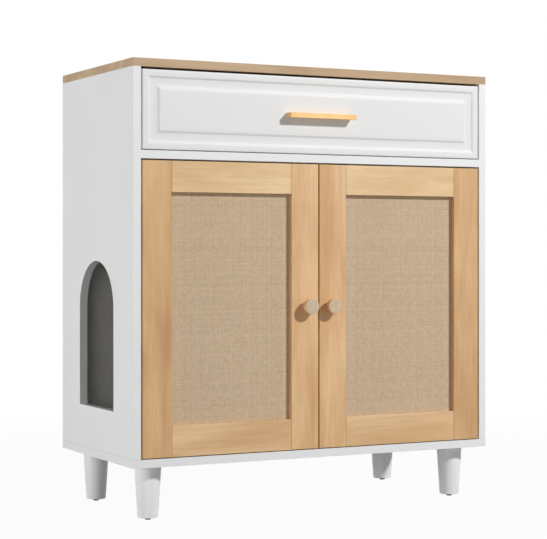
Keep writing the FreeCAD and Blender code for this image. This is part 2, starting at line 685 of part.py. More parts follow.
def leg_fittings():
    """Glides, hanger bolts and threaded inserts of the four legs."""
    glide = stack("glide_pattern", (GLIDE_SIDES, "dims.glide_radius", "0", "dims.glide_height"),
                  (SCREW_SIDES, "dims.nail_radius", "dims.glide_height",
                   "(dims.glide_height + dims.nail_length)"))
    hanger = stack("hanger_bolt_pattern",
                   (PEG_SIDES, "dims.hanger_radius", "-dims.hanger_in_leg", "dims.insert_depth"))
    insert = stack("insert_pattern", (PEG_SIDES, "dims.insert_radius", "0", "dims.insert_depth"))
    drill(insert, "XY_Plane", "0", [("0", "0")], "dims.hanger_radius", "dims.insert_depth", True,
          PEG_SIDES)
    doc.recompute()
    for label, pattern, height in (("foot_glides", glide, "0"), ("leg_hanger_bolts", hanger, UNDERSIDE),
                                   ("leg_threaded_inserts", insert, UNDERSIDE)):
        places = [Placement(point(x, f"{FRONT} + {y}", height), Rotation())
                  for x, y in leg_spots().values()]
        group(label, copies(pattern, places))


def carcass_fittings():
    """Cam locks, cam bolts and dowels at the corners and at the shelf."""
    cams, bolts, pins = [], [], []
    edge = "(dims.cabinet_width / 2 - dims.board / 2)"
    for sign, inwards in (("-", RIGHTWARD), ("", LEFTWARD)):
        for face, away, reach in ((FLOOR, UP, "+ dims.cam_reach"), (TOP_LOW, DOWN, "- dims.cam_reach")):
            for row in ROWS:
                bolts.append(aimed(point(f"{sign}{edge}", f"{FRONT} + {row}", face), away))
                spot = point(f"{sign}{INNER}", f"{FRONT} + {row}", f"{face} {reach}")
                cams.append(Placement(spot, Rotation(away, Vector(), inwards, "ZXY")))
            for row in DOWEL_ROWS:
                start = f"{face} {'-' if away is UP else '+'} dims.dowel_seat"
                pins.append(aimed(point(f"{sign}{edge}", f"{FRONT} + {row}", start), away))
        middle = f"{SHELF_LOW} + dims.board / 2"
        outer = "-" if sign == "" else "+"
        for row in ROWS:
            bolts.append(aimed(point(f"{sign}{INNER}", f"{FRONT} + {row}", middle), inwards))
            spot = point(f"{sign}{INNER} {outer} dims.cam_reach", f"{FRONT} + {row}", SHELF_LOW)
            cams.append(Placement(spot, Rotation(inwards, Vector(), DOWN, "ZXY")))
        seat = "+" if sign == "" else "-"
        for row in DOWEL_ROWS:
            start = point(f"{sign}{INNER} {seat} dims.dowel_seat", f"{FRONT} + {row}", middle)
            pins.append(aimed(start, inwards))
    patterns = (cam_lock(), cam_bolt(), dowel("dowel_pattern", "dims.dowel_length"))
    doc.recompute()
    for label, pattern, places in zip(("cam_locks", "cam_bolts", "wood_dowels"), patterns,
                                      (cams, bolts, pins)):
        group(label, copies(pattern, places))


def make_carcass():
    """Boards, legs and what holds them together."""
    bottom = flat_board("bottom_board", UNDERSIDE, faces_up=True)
    drill(bottom, "XY_Plane", "0", list(leg_spots().values()), "dims.insert_radius",
          "dims.insert_depth", True, PEG_SIDES)
    flat_board("top_board", TOP_LOW, faces_up=False)
    side_panel("left_side_panel", -1)
    side_panel("right_side_panel", 1)
    divider_shelf()
    back_panel()
    for name, spot in leg_spots().items():
        tapered_leg(f"{name}_leg", spot)
    leg_fittings()
    carcass_fittings()


# ---- concealed hinges ------------------------------------------------------------------------------

def goose_neck_arm():
    """Hinge arm: a rolled eye on the pin, a neck that reaches round the edge of the open door, and a
    channel that sits on the mounting plate. X runs from the side panel, Y from the front plane."""
    arm = body("hinge_arm_pattern", kept=False)
    half = "dims.strip / 2"
    near, far = f"(dims.pin_from_front - {half})", f"(dims.pin_from_front + {half})"
    limb_in, limb_out = f"(dims.neck_reach - {half})", f"(dims.neck_reach + {half})"
    back_in, back_out = f"(dims.neck_back - {half})", f"(dims.neck_back + {half})"
    arm_in, arm_out = f"(dims.arm_plane - {half})", f"(dims.arm_plane + {half})"
    strip = sketch_on(arm, "XY_Plane")
    polygon(strip, (("dims.pin_from_panel", near), (limb_out, near), (limb_out, back_out),
                    (arm_out, back_out), (arm_out, "dims.arm_end"), (arm_in, "dims.arm_end"),
                    (arm_in, back_in), (limb_in, back_in), (limb_in, far),
                    ("dims.pin_from_panel", far)))
    pad(arm, strip, "dims.neck_width", both_ways=True)
    soften(arm, "Chamfer", "dims.strip", any_of(on(x=limb_out, y=near), on(x=limb_out, y=back_out),
                                                on(x=arm_in, y=back_in)))
    eye = prism_outline(sketch_on(arm, "XY_Plane"), "dims.pin_from_panel", "dims.pin_from_front",
                        "dims.eye_radius", DRUM_SIDES)
    pad(arm, eye, "dims.neck_width", both_ways=True)
    web = rectangle(sketch_on(arm, "XY_Plane"), arm_in, "dims.neck_back + 5", arm_out, "dims.arm_end")
    pad(arm, web, "dims.arm_width", both_ways=True)
    cheeks = sketch_on(arm, "YZ_Plane", "dims.plate_wing + 0.4")
    for sign in ("-", ""):
        rectangle(cheeks, "dims.neck_back + 5", f"{sign}(dims.arm_width / 2)", "dims.arm_end - 2",
                  f"{sign}(dims.arm_width / 2 - dims.strip)")
    pad(arm, cheeks, f"{arm_in} - dims.plate_wing - 0.4")
    bore = prism_outline(sketch_on(arm, "XY_Plane"), "dims.pin_from_panel", "dims.pin_from_front",
                         f"dims.eye_bore * {PIN_FLATS:.6f}", PIN_SIDES)
    pocket(arm, bore, "dims.neck_width + 2", both_ways=True)
    hole = prism_outline(sketch_on(arm, "YZ_Plane", "dims.arm_plane"), "dims.arm_screw_row", "0",
                         "dims.screw_radius", SCREW_SIDES)
    pocket(arm, hole, "4 * dims.strip", both_ways=True)
    return arm


def mounting_plate():
    """Cruciform plate on the side panel: a raised bed for the arm and two screw wings."""
    plate = body("mounting_plate_pattern", kept=False)
    bed_half = "(dims.arm_width / 2 - dims.strip - 0.4)"
    bed = rectangle(sketch_on(plate, "YZ_Plane"), "dims.neck_back + 5", f"-{bed_half}",
                    "dims.arm_end - 2", bed_half)
    pad(plate, bed, "dims.arm_plane - dims.strip / 2")
    wing = "(dims.plate_screw_half + 6)"
    wings = rectangle(sketch_on(plate, "YZ_Plane"), "dims.plate_screw_row - 6", f"-{wing}",
                      "dims.plate_screw_row + 6", wing)
    pad(plate, wings, "dims.plate_wing")
    soften(plate, "Chamfer", "3", any_of(*[on(y=f"dims.plate_screw_row {a} 6", z=f"{b}{wing}")
                                           for a in "+-" for b in ("-", "")]))
    spots = [("dims.plate_screw_row", "dims.plate_screw_half"),
             ("dims.plate_screw_row", "-dims.plate_screw_half"), ("dims.arm_screw_row", "0")]
    drill(plate, "YZ_Plane", "0", spots, "dims.screw_radius", "dims.arm_plane", True)
    return plate


def hinge_cup():
    """35 mm cup with its screw flange. The origin is on the rear face of the door, on the cup axis;
    +X points away from the hinge edge, -Y into the door."""
    cup = body("hinge_cup_pattern", kept=False)
    drum = prism_outline(sketch_on(cup, "XZ_Plane"), "0", "0", "dims.cup_radius", CUP_SIDES)
    pad(cup, drum, "dims.cup_depth")
    wings = rectangle(sketch_on(cup, "XZ_Plane"), "3.5", "-28", "15.5", "28")
    pad(cup, wings, "dims.cup_flange", backwards=True)
    soften(cup, "Chamfer", "3", any_of(*[on(x=x, z=z) for x in ("3.5", "15.5") for z in ("-28", "28")]))
    hollow = prism_outline(sketch_on(cup, "XZ_Plane", "-dims.cup_flange"), "0", "0",
                           "dims.cup_radius - dims.cup_wall", CUP_SIDES)
    pocket(cup, hollow, "dims.cup_flange + dims.cup_depth - dims.cup_floor", along_normal=True)
    seat = prism_outline(sketch_on(cup, "XY_Plane"), *pin_in_cup(), "dims.pin_radius", PIN_SIDES)
    pocket(cup, seat, "dims.pin_length", both_ways=True)
    drill(cup, "XZ_Plane", "-dims.cup_flange", [("9.5", "22.5"), ("9.5", "-22.5")],
          "dims.screw_radius", "dims.cup_flange", True)
    return cup


def pin_in_cup():
    """Hinge pin axis seen from the cup: X and Y."""
    x = "(dims.pin_from_panel - dims.door_side_gap - dims.cup_edge - dims.cup_radius)"
    y = "(dims.pin_from_front - dims.door_thickness)"
    return x, y


def hinge_pin():
    """Pin across the cup."""
    pin = body("hinge_pin_pattern", kept=False)
    sketch = prism_outline(sketch_on(pin, "XY_Plane"), *pin_in_cup(), "dims.pin_radius", PIN_SIDES)
    pad(pin, sketch, "dims.pin_length", both_ways=True)
    return pin


def hinge_places(x, y, side):
    """Places of the two hinges of a door, for a pattern drawn left-handed."""
    sign = "-" if side < 0 else ""
    return [mirrored_place(point(f"{sign}({x})", f"{FRONT} + {y}", f"{FLOOR} + {height}"), side)
            for height in hinge_heights()]


# ---- doors -----------------------------------------------------------------------------------------

def door_body(label, side):
    """A door piece. X runs from the hinge edge (negative on the right door), Y = 0 is the rear face
    with the front at -Y, Z from the lower end of the door."""
    sign = "-" if side < 0 else ""
    return body(label, f"{sign}({INNER} - dims.door_side_gap)", BEHIND_DOOR, DOOR_LOW)


def make_stile(name, side, near, far, inner):
    """A full-height stile between two distances from the hinge edge; inner is its opening edge."""
    s = f"({-side}) * "
    stile = door_body(name, side)
    pad(stile, rectangle(sketch_on(stile, "XZ_Plane"), s + near, "0", s + far, DOOR_HEIGHT),
        "dims.door_thickness")
    lap = f"({inner} {'-' if inner == far else '+'} dims.panel_lap)"
    inset = "(dims.frame_width - dims.panel_lap)"
    rebate = rectangle(sketch_on(stile, "XZ_Plane"), s + lap, inset, s + inner,
                       f"{DOOR_HEIGHT} - {inset}")
    pocket(stile, rebate, "dims.door_thickness - dims.panel_recess", along_normal=True)
    mortises = sketch_on(stile, "YZ_Plane", s + inner)
    front, rear = tenon_planes()
    for low, high in tenon_spans():
        rectangle(mortises, f"-{front}", low, f"-{rear}", high)
    pocket(stile, mortises, "dims.tenon_length", along_normal=(inner == near) == (side < 0))
    return stile


def tenon_planes():
    """Depths of the tenon faces in front of the rear of the door."""
    rear = "((dims.door_thickness - dims.tenon_thickness) / 2)"
    return f"({rear} + dims.tenon_thickness)", rear


def tenon_spans():
    """Lower and upper end of the tenons of the bottom rail and of the top rail."""
    low, high = "dims.tenon_shoulder", "(dims.frame_width - dims.tenon_shoulder)"
    return (low, high), (f"({DOOR_HEIGHT} - {high})", f"({DOOR_HEIGHT} - {low})")


def make_rail(name, side, at_top):
    """A rail between the stiles, with a stub tenon at each end and the rebate for the panel."""
    s = f"({-side}) * "
    rail = door_body(name, side)
    start, stop = "dims.frame_width", f"({DOOR_WIDTH} - dims.frame_width)"
    low = f"({DOOR_HEIGHT} - dims.frame_width)" if at_top else "0"
    high = DOOR_HEIGHT if at_top else "dims.frame_width"
    pad(rail, rectangle(sketch_on(rail, "XZ_Plane"), s + start, low, s + stop, high),
        "dims.door_thickness")
    front, rear = tenon_planes()
    span = tenon_spans()[1 if at_top else 0]
    tenon = rectangle(sketch_on(rail, "XZ_Plane", rear), s + f"({start} - dims.tenon_length)", span[0],
                      s + f"({stop} + dims.tenon_length)", span[1])
    pad(rail, tenon, "dims.tenon_thickness")
    edge = low if at_top else high
    lap = f"({edge} {'+' if at_top else '-'} dims.panel_lap)"
    rebate = rectangle(sketch_on(rail, "XZ_Plane"), s + start, edge, s + stop, lap)
    pocket(rail, rebate, "dims.door_thickness - dims.panel_recess", along_normal=True)
    soften(rail, "Fillet", "dims.frame_ease", on(y="-dims.door_thickness", z=edge))
    return rail


def make_knob(name, side):
    """Round knob: a bevelled drum that narrows to a neck at the door, bored for its screw."""
    sign = "-" if side < 0 else ""
    knob = body(name, f"{sign}(dims.knob_inset + dims.door_centre_gap / 2)", FRONT,
                f"{DOOR_LOW} + {DOOR_HEIGHT} / 2")
    knob.Placement = Placement(Vector(), Rotation(Vector(1, 0, 0), 90))
    face = "dims.knob_projection"
    neck = prism_outline(sketch_on(knob, "XY_Plane"), "0", "0", "dims.knob_neck_radius", KNOB_SIDES)
    pad(knob, neck, face)
    shoulder = "dims.knob_neck"
    drum = prism_outline(sketch_on(knob, "XY_Plane", shoulder), "0", "0", "dims.knob_radius", KNOB_SIDES)
    pad(knob, drum, f"{face} - {shoulder}")
    soften(knob, "Chamfer", "dims.knob_bevel", on(z=face))
    soften(knob, "Chamfer", "dims.knob_radius - dims.knob_neck_radius - dims.knob_step",
           lambda edge: on(z=shoulder)(edge) and edge.Length > number(NECK_EDGE))
    drill(knob, "XY_Plane", "0", [("0", "0")], "dims.knob_screw_radius", "dims.knob_screw_in_knob", True)
    return knob


def make_panel(name, side, behind_lip, thickness, ease):
    """A flat sheet in the rebate, starting a distance behind the lip of the frame."""
    s = f"({-side}) * "
    sheet_piece = door_body(name, side)
    inset = f"(dims.frame_width - dims.panel_lap + {ease})"
    rear = f"(dims.door_thickness - dims.panel_recess - {behind_lip} - {thickness})"
    outline = rectangle(sketch_on(sheet_piece, "XZ_Plane", rear), s + inset, inset,
                        s + f"({DOOR_WIDTH} - {inset})", f"{DOOR_HEIGHT} - {inset}")
    pad(sheet_piece, outline, thickness)
    return sheet_piece


def make_strike(name, side):
    """Steel strike plate on the rear face, near the top of the meeting edge."""
    s = f"({-side}) * "
    plate = door_body(name, side)
    near = f"({DOOR_WIDTH} - 2 - dims.strike_width)"
    low = f"({DOOR_HEIGHT} - 1 - dims.strike_height)"
    outline = rectangle(sketch_on(plate, "XZ_Plane"), s + near, low,
                        s + f"({near} + dims.strike_width)", f"{low} + dims.strike_height")
    pad(plate, outline, "dims.strike_thickness", backwards=True)
    soften(plate, "Chamfer", "1.5", lambda edge: abs(edge.tangentAt(edge.FirstParameter).y) > 0.9)
    drill(plate, "XZ_Plane", "0", [(s + strike_screw()[0], strike_screw()[1])], "dims.screw_radius",
          "dims.strike_thickness")
    return plate


def strike_screw():
    """Strike plate screw: distance from the hinge edge and height in the door."""
    return f"({DOOR_WIDTH} - 2 - dims.strike_width / 2)", f"({DOOR_HEIGHT} - dims.strike_height + 4)"


def make_door(word, side, screw, knob_screw, cup, pin):
    """One framed door with its panel, knob, hinge cups and strike plate."""
    s = f"({-side}) * "
    cup_x = "(dims.cup_edge + dims.cup_radius)"
    heights = ("dims.hinge_inset", f"({DOOR_HEIGHT} - dims.hinge_inset)")
    hinge_stile = make_stile(f"{word}_door_hinge_stile", side, "0", "dims.frame_width",
                             "dims.frame_width")
    drill(hinge_stile, "XZ_Plane", "0", [(s + cup_x, height) for height in heights],
          "dims.cup_radius", "dims.cup_depth", True, CUP_SIDES)
    cup_screws = [(f"({cup_x} + 9.5)", f"({height} {sign} 22.5)") for height in heights
                  for sign in "+-"]
    drill(hinge_stile, "XZ_Plane", "0", [(s + x, z) for x, z in cup_screws], "dims.screw_radius",
          "dims.screw_length", True)
    soften(hinge_stile, "Fillet", "dims.frame_round", on(x="0", y="-dims.door_thickness"))
    meeting = make_stile(f"{word}_door_meeting_stile", side, f"({DOOR_WIDTH} - dims.frame_width)",
                         DOOR_WIDTH, f"({DOOR_WIDTH} - dims.frame_width)")
    knob_x, knob_z = f"({DOOR_WIDTH} - dims.knob_inset)", f"({DOOR_HEIGHT} / 2)"
    drill(meeting, "XZ_Plane", "0", [(s + knob_x, knob_z)], "dims.knob_screw_radius",
          "dims.door_thickness", True)
    drill(meeting, "XZ_Plane", "0", [(s + strike_screw()[0], strike_screw()[1])],
          "dims.screw_radius", "dims.screw_length", True)
    soften(meeting, "Fillet", "dims.frame_ease", on(x=s + DOOR_WIDTH, y="-dims.door_thickness"))
    make_rail(f"{word}_door_top_rail", side, True)
    make_rail(f"{word}_door_bottom_rail", side, False)
    make_panel(f"{word}_door_woven_panel", side, "0", "dims.cloth", "0")
    make_panel(f"{word}_door_backing_board", side, "dims.cloth", "dims.backing", "0.4")
    make_knob(f"{word}_door_knob", side)
    make_strike(f"{word}_door_strike_plate", side)
    cup_places = hinge_places(f"{INNER} - dims.door_side_gap - {cup_x}", "dims.door_thickness", side)
    group(f"{word}_door_hinge_cups", copies(cup, cup_places))
    group(f"{word}_door_hinge_pins", copies(pin, cup_places))
    sign = "-" if side < 0 else ""
    turn = "+" if side < 0 else "-"

    def in_cabinet(x, z, proud):
        across = f"{sign}({INNER} - dims.door_side_gap) {turn} {x}"
        return aimed(point(across, f"{BEHIND_DOOR} + {proud}", f"{DOOR_LOW} + {z}"), BACKWARD)
    screws = copies(screw, [in_cabinet(x, z, "dims.cup_flange") for x, z in cup_screws])
    screws += copies(screw, [in_cabinet(*strike_screw(), "dims.strike_thickness")])
    screws += copies(knob_screw, [in_cabinet(knob_x, knob_z, "0")])
    group(f"{word}_door_screws", screws)


# ---- drawer ----------------------------------------------------------------------------------------

def drawer_front():
    """Drawer front with a sunk routed band round a raised field. Y = 0 is its rear face."""
    front = body("drawer_front", "0", BEHIND_DOOR, f"{SHELF_TOP} + dims.drawer_bottom_gap")
    half = f"({INNER} - dims.door_side_gap)"
    core = "(dims.door_thickness - dims.band_depth)"
    pad(front, framed(front, "0", half, "0"), core)
    border = framed(front, core, half, "0")
    framed_into(border, half, "dims.band_outer")
    pad(front, border, "dims.band_depth")
    pad(front, framed(front, core, half, "dims.band_inner"), "dims.band_depth")
    face = "-dims.door_thickness"
    soften(front, "Chamfer", "dims.band_inner_slope", rim_test(half, "dims.band_inner", face))
    soften(front, "Chamfer", "dims.band_outer_slope", rim_test(half, "dims.band_outer", face))
    soften(front, "Fillet", "dims.frame_round", rim_test(half, "0", face))
    groove = rectangle(sketch_on(front, "XZ_Plane"), f"-({DRAWER_HALF} - dims.drawer_side)",
                       groove_low(), f"({DRAWER_HALF} - dims.drawer_side)",
                       f"{groove_low()} + dims.drawer_floor")
    pocket(front, groove, "dims.floor_groove", along_normal=True)
    spots = [(f"{sign}({DRAWER_HALF} - dims.drawer_side / 2)", f"({box_offset()} + {height})")
             for sign in ("-", "") for height in ("dims.corner_dowel_low", "dims.corner_dowel_high")]
    drill(front, "XZ_Plane", "0", spots, "dims.dowel_radius", "dims.corner_dowel_seat", True, PEG_SIDES)
    drill(front, "XZ_Plane", "0", [(f"{sign}dims.handle_screw_half", handle_screw_height())
                                   for sign in ("-", "")], "dims.handle_screw_radius",
          "dims.door_thickness", True)
    return front


def box_offset():
    """Lower edge of the drawer sides above the lower edge of the drawer front."""
    return "(dims.drawer_lift - dims.drawer_bottom_gap)"


def groove_low():
    """Groove for the drawer bottom, above the lower edge of the drawer front."""
    return f"({box_offset()} + dims.floor_lift)"


def handle_screw_height():
    """Handle screws above the lower edge of the drawer front."""
    return "(dims.handle_top - dims.handle_root / 2 - dims.drawer_bottom_gap)"


def framed_into(sketch, half, inset):
    """Adds a rectangle set in from the edges of the drawer front."""
    edge = f"({half} - {inset})"
    return rectangle(sketch, f"-{edge}", inset, edge, f"{DRAWER_FRONT_HEIGHT} - {inset}")


def framed(piece, offset, half, inset):
    """A sketch with one rectangle set in from the edges of the drawer front."""
    return framed_into(sketch_on(piece, "XZ_Plane", offset), half, inset)


def rim_test(half, inset, face):
    """A test for the four front edges of a rectangle set in from the edges of the drawer front."""
    edge = f"({half} - {inset})"
    return any_of(on(x=edge, y=face), on(x=f"-{edge}", y=face), on(z=inset, y=face),
                  on(z=f"{DRAWER_FRONT_HEIGHT} - {inset}", y=face))


def drawer_side(label, side):
    """Drawer side with the groove for the bottom. X = 0 is the face that meets the slide."""
    sign = "-" if side < 0 else ""
    s = f"({-side}) * "
    panel = body(label, f"{sign}{DRAWER_HALF}", BEHIND_DOOR, BOX_LOW)
    pad(panel, rectangle(sketch_on(panel, "XY_Plane"), "0", "0", s + "dims.drawer_side",
                         "dims.drawer_depth"), "dims.drawer_height")
    groove = rectangle(sketch_on(panel, "XZ_Plane"), s + "dims.drawer_side", "dims.floor_lift",
                       s + "(dims.drawer_side - dims.floor_groove)",
                       "dims.floor_lift + dims.drawer_floor")
    pocket(panel, groove, "dims.drawer_depth")
    heights = ("dims.corner_dowel_low", "dims.corner_dowel_high")
    drill(panel, "XZ_Plane", "0", [(s + "dims.drawer_side / 2", height) for height in heights],
          "dims.dowel_radius", "dims.corner_dowel_length - dims.corner_dowel_seat", sides=PEG_SIDES)
    drill(panel, "YZ_Plane", s + "dims.drawer_side",
          [("dims.drawer_depth - dims.drawer_side / 2", height) for height in heights],
          "dims.dowel_radius", "dims.corner_dowel_seat", side > 0, PEG_SIDES)
    drill(panel, "YZ_Plane", "0", [(f"({row} - dims.door_thickness)", "dims.slide_height")
                                   for row in drawer_screw_rows()], "dims.screw_radius",
          "dims.screw_length", side < 0)
    soften(panel, "Fillet", "2", on(z="dims.drawer_height", x=s + "dims.drawer_side"))
    return panel


def drawer_screw_rows():
    """Drawer member screws, behind the front plane."""
    return [f"(dims.slide_front + {along})" for along in ("40", "dims.slide_length / 2 - 15",
                                                           "(dims.slide_length - 40)")]


def drawer_rear():
    """Drawer rear board, above the bottom, bored for its dowels."""
    half = f"({DRAWER_HALF} - dims.drawer_side)"
    low = "(dims.floor_lift + dims.drawer_floor)"
    board = body("drawer_rear_board", "0", f"{BEHIND_DOOR} + dims.drawer_depth", f"{BOX_LOW} + {low}")
    pad(board, rectangle(sketch_on(board, "XZ_Plane"), f"-{half}", "0", half,
                         f"dims.drawer_height - {low}"), "dims.drawer_side")
    for end, rightwards in ((f"-{half}", True), (half, False)):
        spots = [("-dims.drawer_side / 2", f"({height} - {low})")
                 for height in ("dims.corner_dowel_low", "dims.corner_dowel_high")]
        drill(board, "YZ_Plane", end, spots, "dims.dowel_radius",
              "dims.corner_dowel_length - dims.corner_dowel_seat", rightwards, PEG_SIDES)
    return board


def drawer_bottom():
    """Drawer bottom in the grooves of the sides and the front."""
    half = f"({DRAWER_HALF} - dims.drawer_side + dims.floor_groove)"
    inner = f"({DRAWER_HALF} - dims.drawer_side)"
    floor = body("drawer_bottom", "0", BEHIND_DOOR, f"{BOX_LOW} + dims.floor_lift")
    outline = sketch_on(floor, "XY_Plane")
    polygon(outline, ((f"-{inner}", "-dims.floor_groove"), (inner, "-dims.floor_groove"), (inner, "0"),
                      (half, "0"), (half, "dims.drawer_depth"), (f"-{half}", "dims.drawer_depth"),
                      (f"-{half}", "0"), (f"-{inner}", "0")))
    pad(floor, outline, "dims.drawer_floor")
    return floor


def drawer_handle():
    """Finger pull: a wedge whose underside rises towards the drawer."""
    pull = body("drawer_handle", "0", FRONT, f"{SHELF_TOP} + dims.handle_top")
    profile = sketch_on(pull, "YZ_Plane")
    polygon(profile, (("0", "0"), ("-dims.handle_projection", "0"),
                      ("-dims.handle_projection", "-dims.handle_height"),
                      ("3.5 - dims.handle_projection", "-dims.handle_height"),
                      ("0", "-dims.handle_root")))
    pad(pull, profile, "dims.handle_width", both_ways=True)
    soften(pull, "Fillet", "0.8", any_of(on(y="-dims.handle_projection", z="0"),
                                         on(y="-dims.handle_projection", z="-dims.handle_height")))
    drill(pull, "XZ_Plane", "0", [(f"{sign}dims.handle_screw_half", "-dims.handle_root / 2")
                                  for sign in ("-", "")], "dims.handle_screw_radius",
          "dims.handle_screw_in", True)
    return pull


def make_drawer(screw):
    """Drawer box, front, pull and their fixings."""
    drawer_front()
    drawer_side("drawer_left_side", -1)
    drawer_side("drawer_right_side", 1)
    drawer_rear()
    drawer_bottom()
    drawer_handle()
    handle_screw = machine_screw("handle_screw_pattern", "dims.handle_screw_radius",
                                 "(dims.door_thickness + dims.handle_screw_in)")
    peg = dowel("corner_dowel_pattern", "dims.corner_dowel_length")
    doc.recompute()
    height = f"{SHELF_TOP} + dims.drawer_bottom_gap + {handle_screw_height()}"
    places = [aimed(point(f"{sign}dims.handle_screw_half", BEHIND_DOOR, height), BACKWARD)
              for sign in ("-", "")]
    group("drawer_handle_screws", copies(handle_screw, places))
    pegs, screws = [], []
    for sign, inwards in (("-", RIGHTWARD), ("", LEFTWARD)):
        outwards = "-" if sign == "-" else "+"
        for level in ("dims.corner_dowel_low", "dims.corner_dowel_high"):
            z = f"{BOX_LOW} + {level}"
            x = f"{sign}({DRAWER_HALF} - dims.drawer_side / 2)"
            pegs.append(aimed(point(x, f"{BEHIND_DOOR} - dims.corner_dowel_seat", z), BACKWARD))
            x = f"{sign}({DRAWER_HALF} - dims.drawer_side) {outwards} dims.corner_dowel_seat"
            y = f"{BEHIND_DOOR} + dims.drawer_depth - dims.drawer_side / 2"
            pegs.append(aimed(point(x, y, z), inwards))
        for row in drawer_screw_rows():
            x = f"{sign}({INNER} - dims.slide_gap + dims.slide_web)"
            screws.append(aimed(point(x, f"{FRONT} + {row}", f"{BOX_LOW} + dims.slide_height"),
                                RIGHTWARD if sign == "" else LEFTWARD))
    group("drawer_dowels", copies(peg, pegs))
    group("drawer_slide_screws", copies(screw, screws))


# ---- ball-bearing slides ---------------------------------------------------------------------------

def slide_profile(piece, web, inner_web, lip, half, thickness):
    """A channel: web against its board, two lips; drawn as X from the panel and Z from the axis."""
    low, high = f"({half} - {thickness})", half
    sketch = sketch_on(piece, "XZ_Plane")
    polygon(sketch, ((web, f"-{high}"), (lip, f"-{high}"), (lip, f"-{low}"), (inner_web, f"-{low}"),
                     (inner_web, low), (lip, low), (lip, high), (web, high)))
    return sketch


def slide_member(label, side, web, inner_web, lip, half, screw_rows):
    """A slide member with a ball race rolled into each lip."""
    sign = "-" if side < 0 else ""
    member = body(label, f"{sign}{INNER}", f"{FRONT} + dims.slide_front",
                  f"{BOX_LOW} + dims.slide_height", half_turn=side > 0)
    pad(member, slide_profile(member, web, inner_web, lip, half, "dims.slide_flange"),
        "dims.slide_length", backwards=True)
    races = sketch_on(member, "XZ_Plane")
    for row in ("dims.ball_half", "-dims.ball_half"):
        prism_outline(races, "dims.ball_plane", row, "dims.race_radius", DRUM_SIDES)
    pocket(member, races, "dims.slide_length")
    drill(member, "YZ_Plane", "0", [(f"({row} - dims.slide_front)", "0") for row in screw_rows],
          "dims.screw_radius", "dims.slide_gap", True)
    return member


def slide_ball():
    """Slide ball: a short prism bevelled at both ends, with its corners on the ball."""
    ball = body("slide_ball_pattern", kept=False)
    half = "(dims.ball_radius * 0.9)"
    outline = prism_outline(sketch_on(ball, "XY_Plane"), "0", "0", "dims.ball_radius * 0.933", PEG_SIDES,
                            upright=True)
    pad(ball, outline, f"2 * {half}", both_ways=True)
    soften(ball, "Chamfer", "dims.ball_radius * 0.46", any_of(on(z=half), on(z=f"-{half}")))
    return ball


def ball_cage(label, side, cage, ball):
    """Cage strip and its balls, as separate solids."""
    sign = "-" if side < 0 else ""
    spot = point(f"{sign}{INNER}", f"{FRONT} + dims.slide_front + dims.cage_start",
                 f"{BOX_LOW} + dims.slide_height")
    place = mirrored_place(spot, side)
    solids = copies(cage, [place])
    for index in range(BALLS_IN_A_ROW):
        for row in ("dims.ball_half", "-dims.ball_half"):
            centre = point("dims.ball_plane", f"{index + 1} * dims.ball_pitch", row)
            solids += copies(ball, [Placement(place.multVec(centre), Rotation())])
    group(label, solids)


def cage_strip():
    """Folded strip that spaces the balls."""
    cage = body("ball_cage_pattern", kept=False)
    half = "(dims.ball_half + dims.cage_lip / 2)"
    pad(cage, slide_profile(cage, "dims.cage_near", "(dims.cage_near + dims.cage_web)", "dims.cage_far",
                            half, "dims.cage_lip"), "dims.cage_length", backwards=True)
    holes = sketch_on(cage, "XY_Plane")
    for index in range(BALLS_IN_A_ROW):
        prism_outline(holes, "dims.ball_plane", f"{index + 1} * dims.ball_pitch", "dims.ball_hole",
                      PEG_SIDES, upright=True)
    pocket(cage, holes, "3 * dims.ball_half", both_ways=True)
    return cage


def make_slides():
    """Two slides: a cabinet member, a drawer member and a ball cage on each side."""
    cage, ball = cage_strip(), slide_ball()
    doc.recompute()
    for word, side in (("left", -1), ("right", 1)):
        slide_member(f"{word}_slide_outer_rail", side, "0", "dims.slide_web", "dims.outer_lip",
                     "dims.outer_half", slide_screw_rows())
        slide_member(f"{word}_slide_inner_rail", side, "dims.slide_gap",
                     "(dims.slide_gap - dims.slide_web)", "dims.inner_lip", "dims.inner_half",
                     drawer_screw_rows())
        ball_cage(f"{word}_slide_ball_cage", side, cage, ball)


# ---- magnetic catch --------------------------------------------------------------------------------

def catch_screw_spots():
    """Catch screws: X, and distance behind the front plane."""
    row = "(dims.catch_front + dims.catch_rear) / 2"
    return ("(dims.catch_ear - 6)", row), ("-(dims.catch_ear - 6)", row)


def magnet_outlines(piece, offset):
    """The two magnet outlines, X and height below the shelf."""
    sketch = sketch_on(piece, "XZ_Plane", offset)
    for sign in ("-", ""):
        rectangle(sketch, f"{sign}3", "-12", f"{sign}16", "-5")
    return sketch


def magnetic_catch():
    """Double catch under the shelf: a moulded case with ears and a magnet for each door."""
    case = body("magnetic_catch_case", "0", FRONT, SHELF_LOW)
    pad(case, rectangle(sketch_on(case, "XY_Plane"), "-dims.catch_half", "dims.catch_front",
                        "dims.catch_half", "dims.catch_rear"), "dims.catch_height", backwards=True)
    pad(case, rectangle(sketch_on(case, "XY_Plane"), "-dims.catch_ear", "dims.catch_front",
                        "dims.catch_ear", "dims.catch_rear"), "2.5", backwards=True)
    pocket(case, magnet_outlines(case, "-dims.catch_front"), "10")
    drill(case, "XY_Plane", "0", list(catch_screw_spots()), "dims.screw_radius", "2.5")
    magnets = body("catch_magnets", "0", FRONT, SHELF_LOW)
    magnets.AllowCompound = True
    pad(magnets, magnet_outlines(magnets, "-dims.magnet_front"), "10", backwards=True)


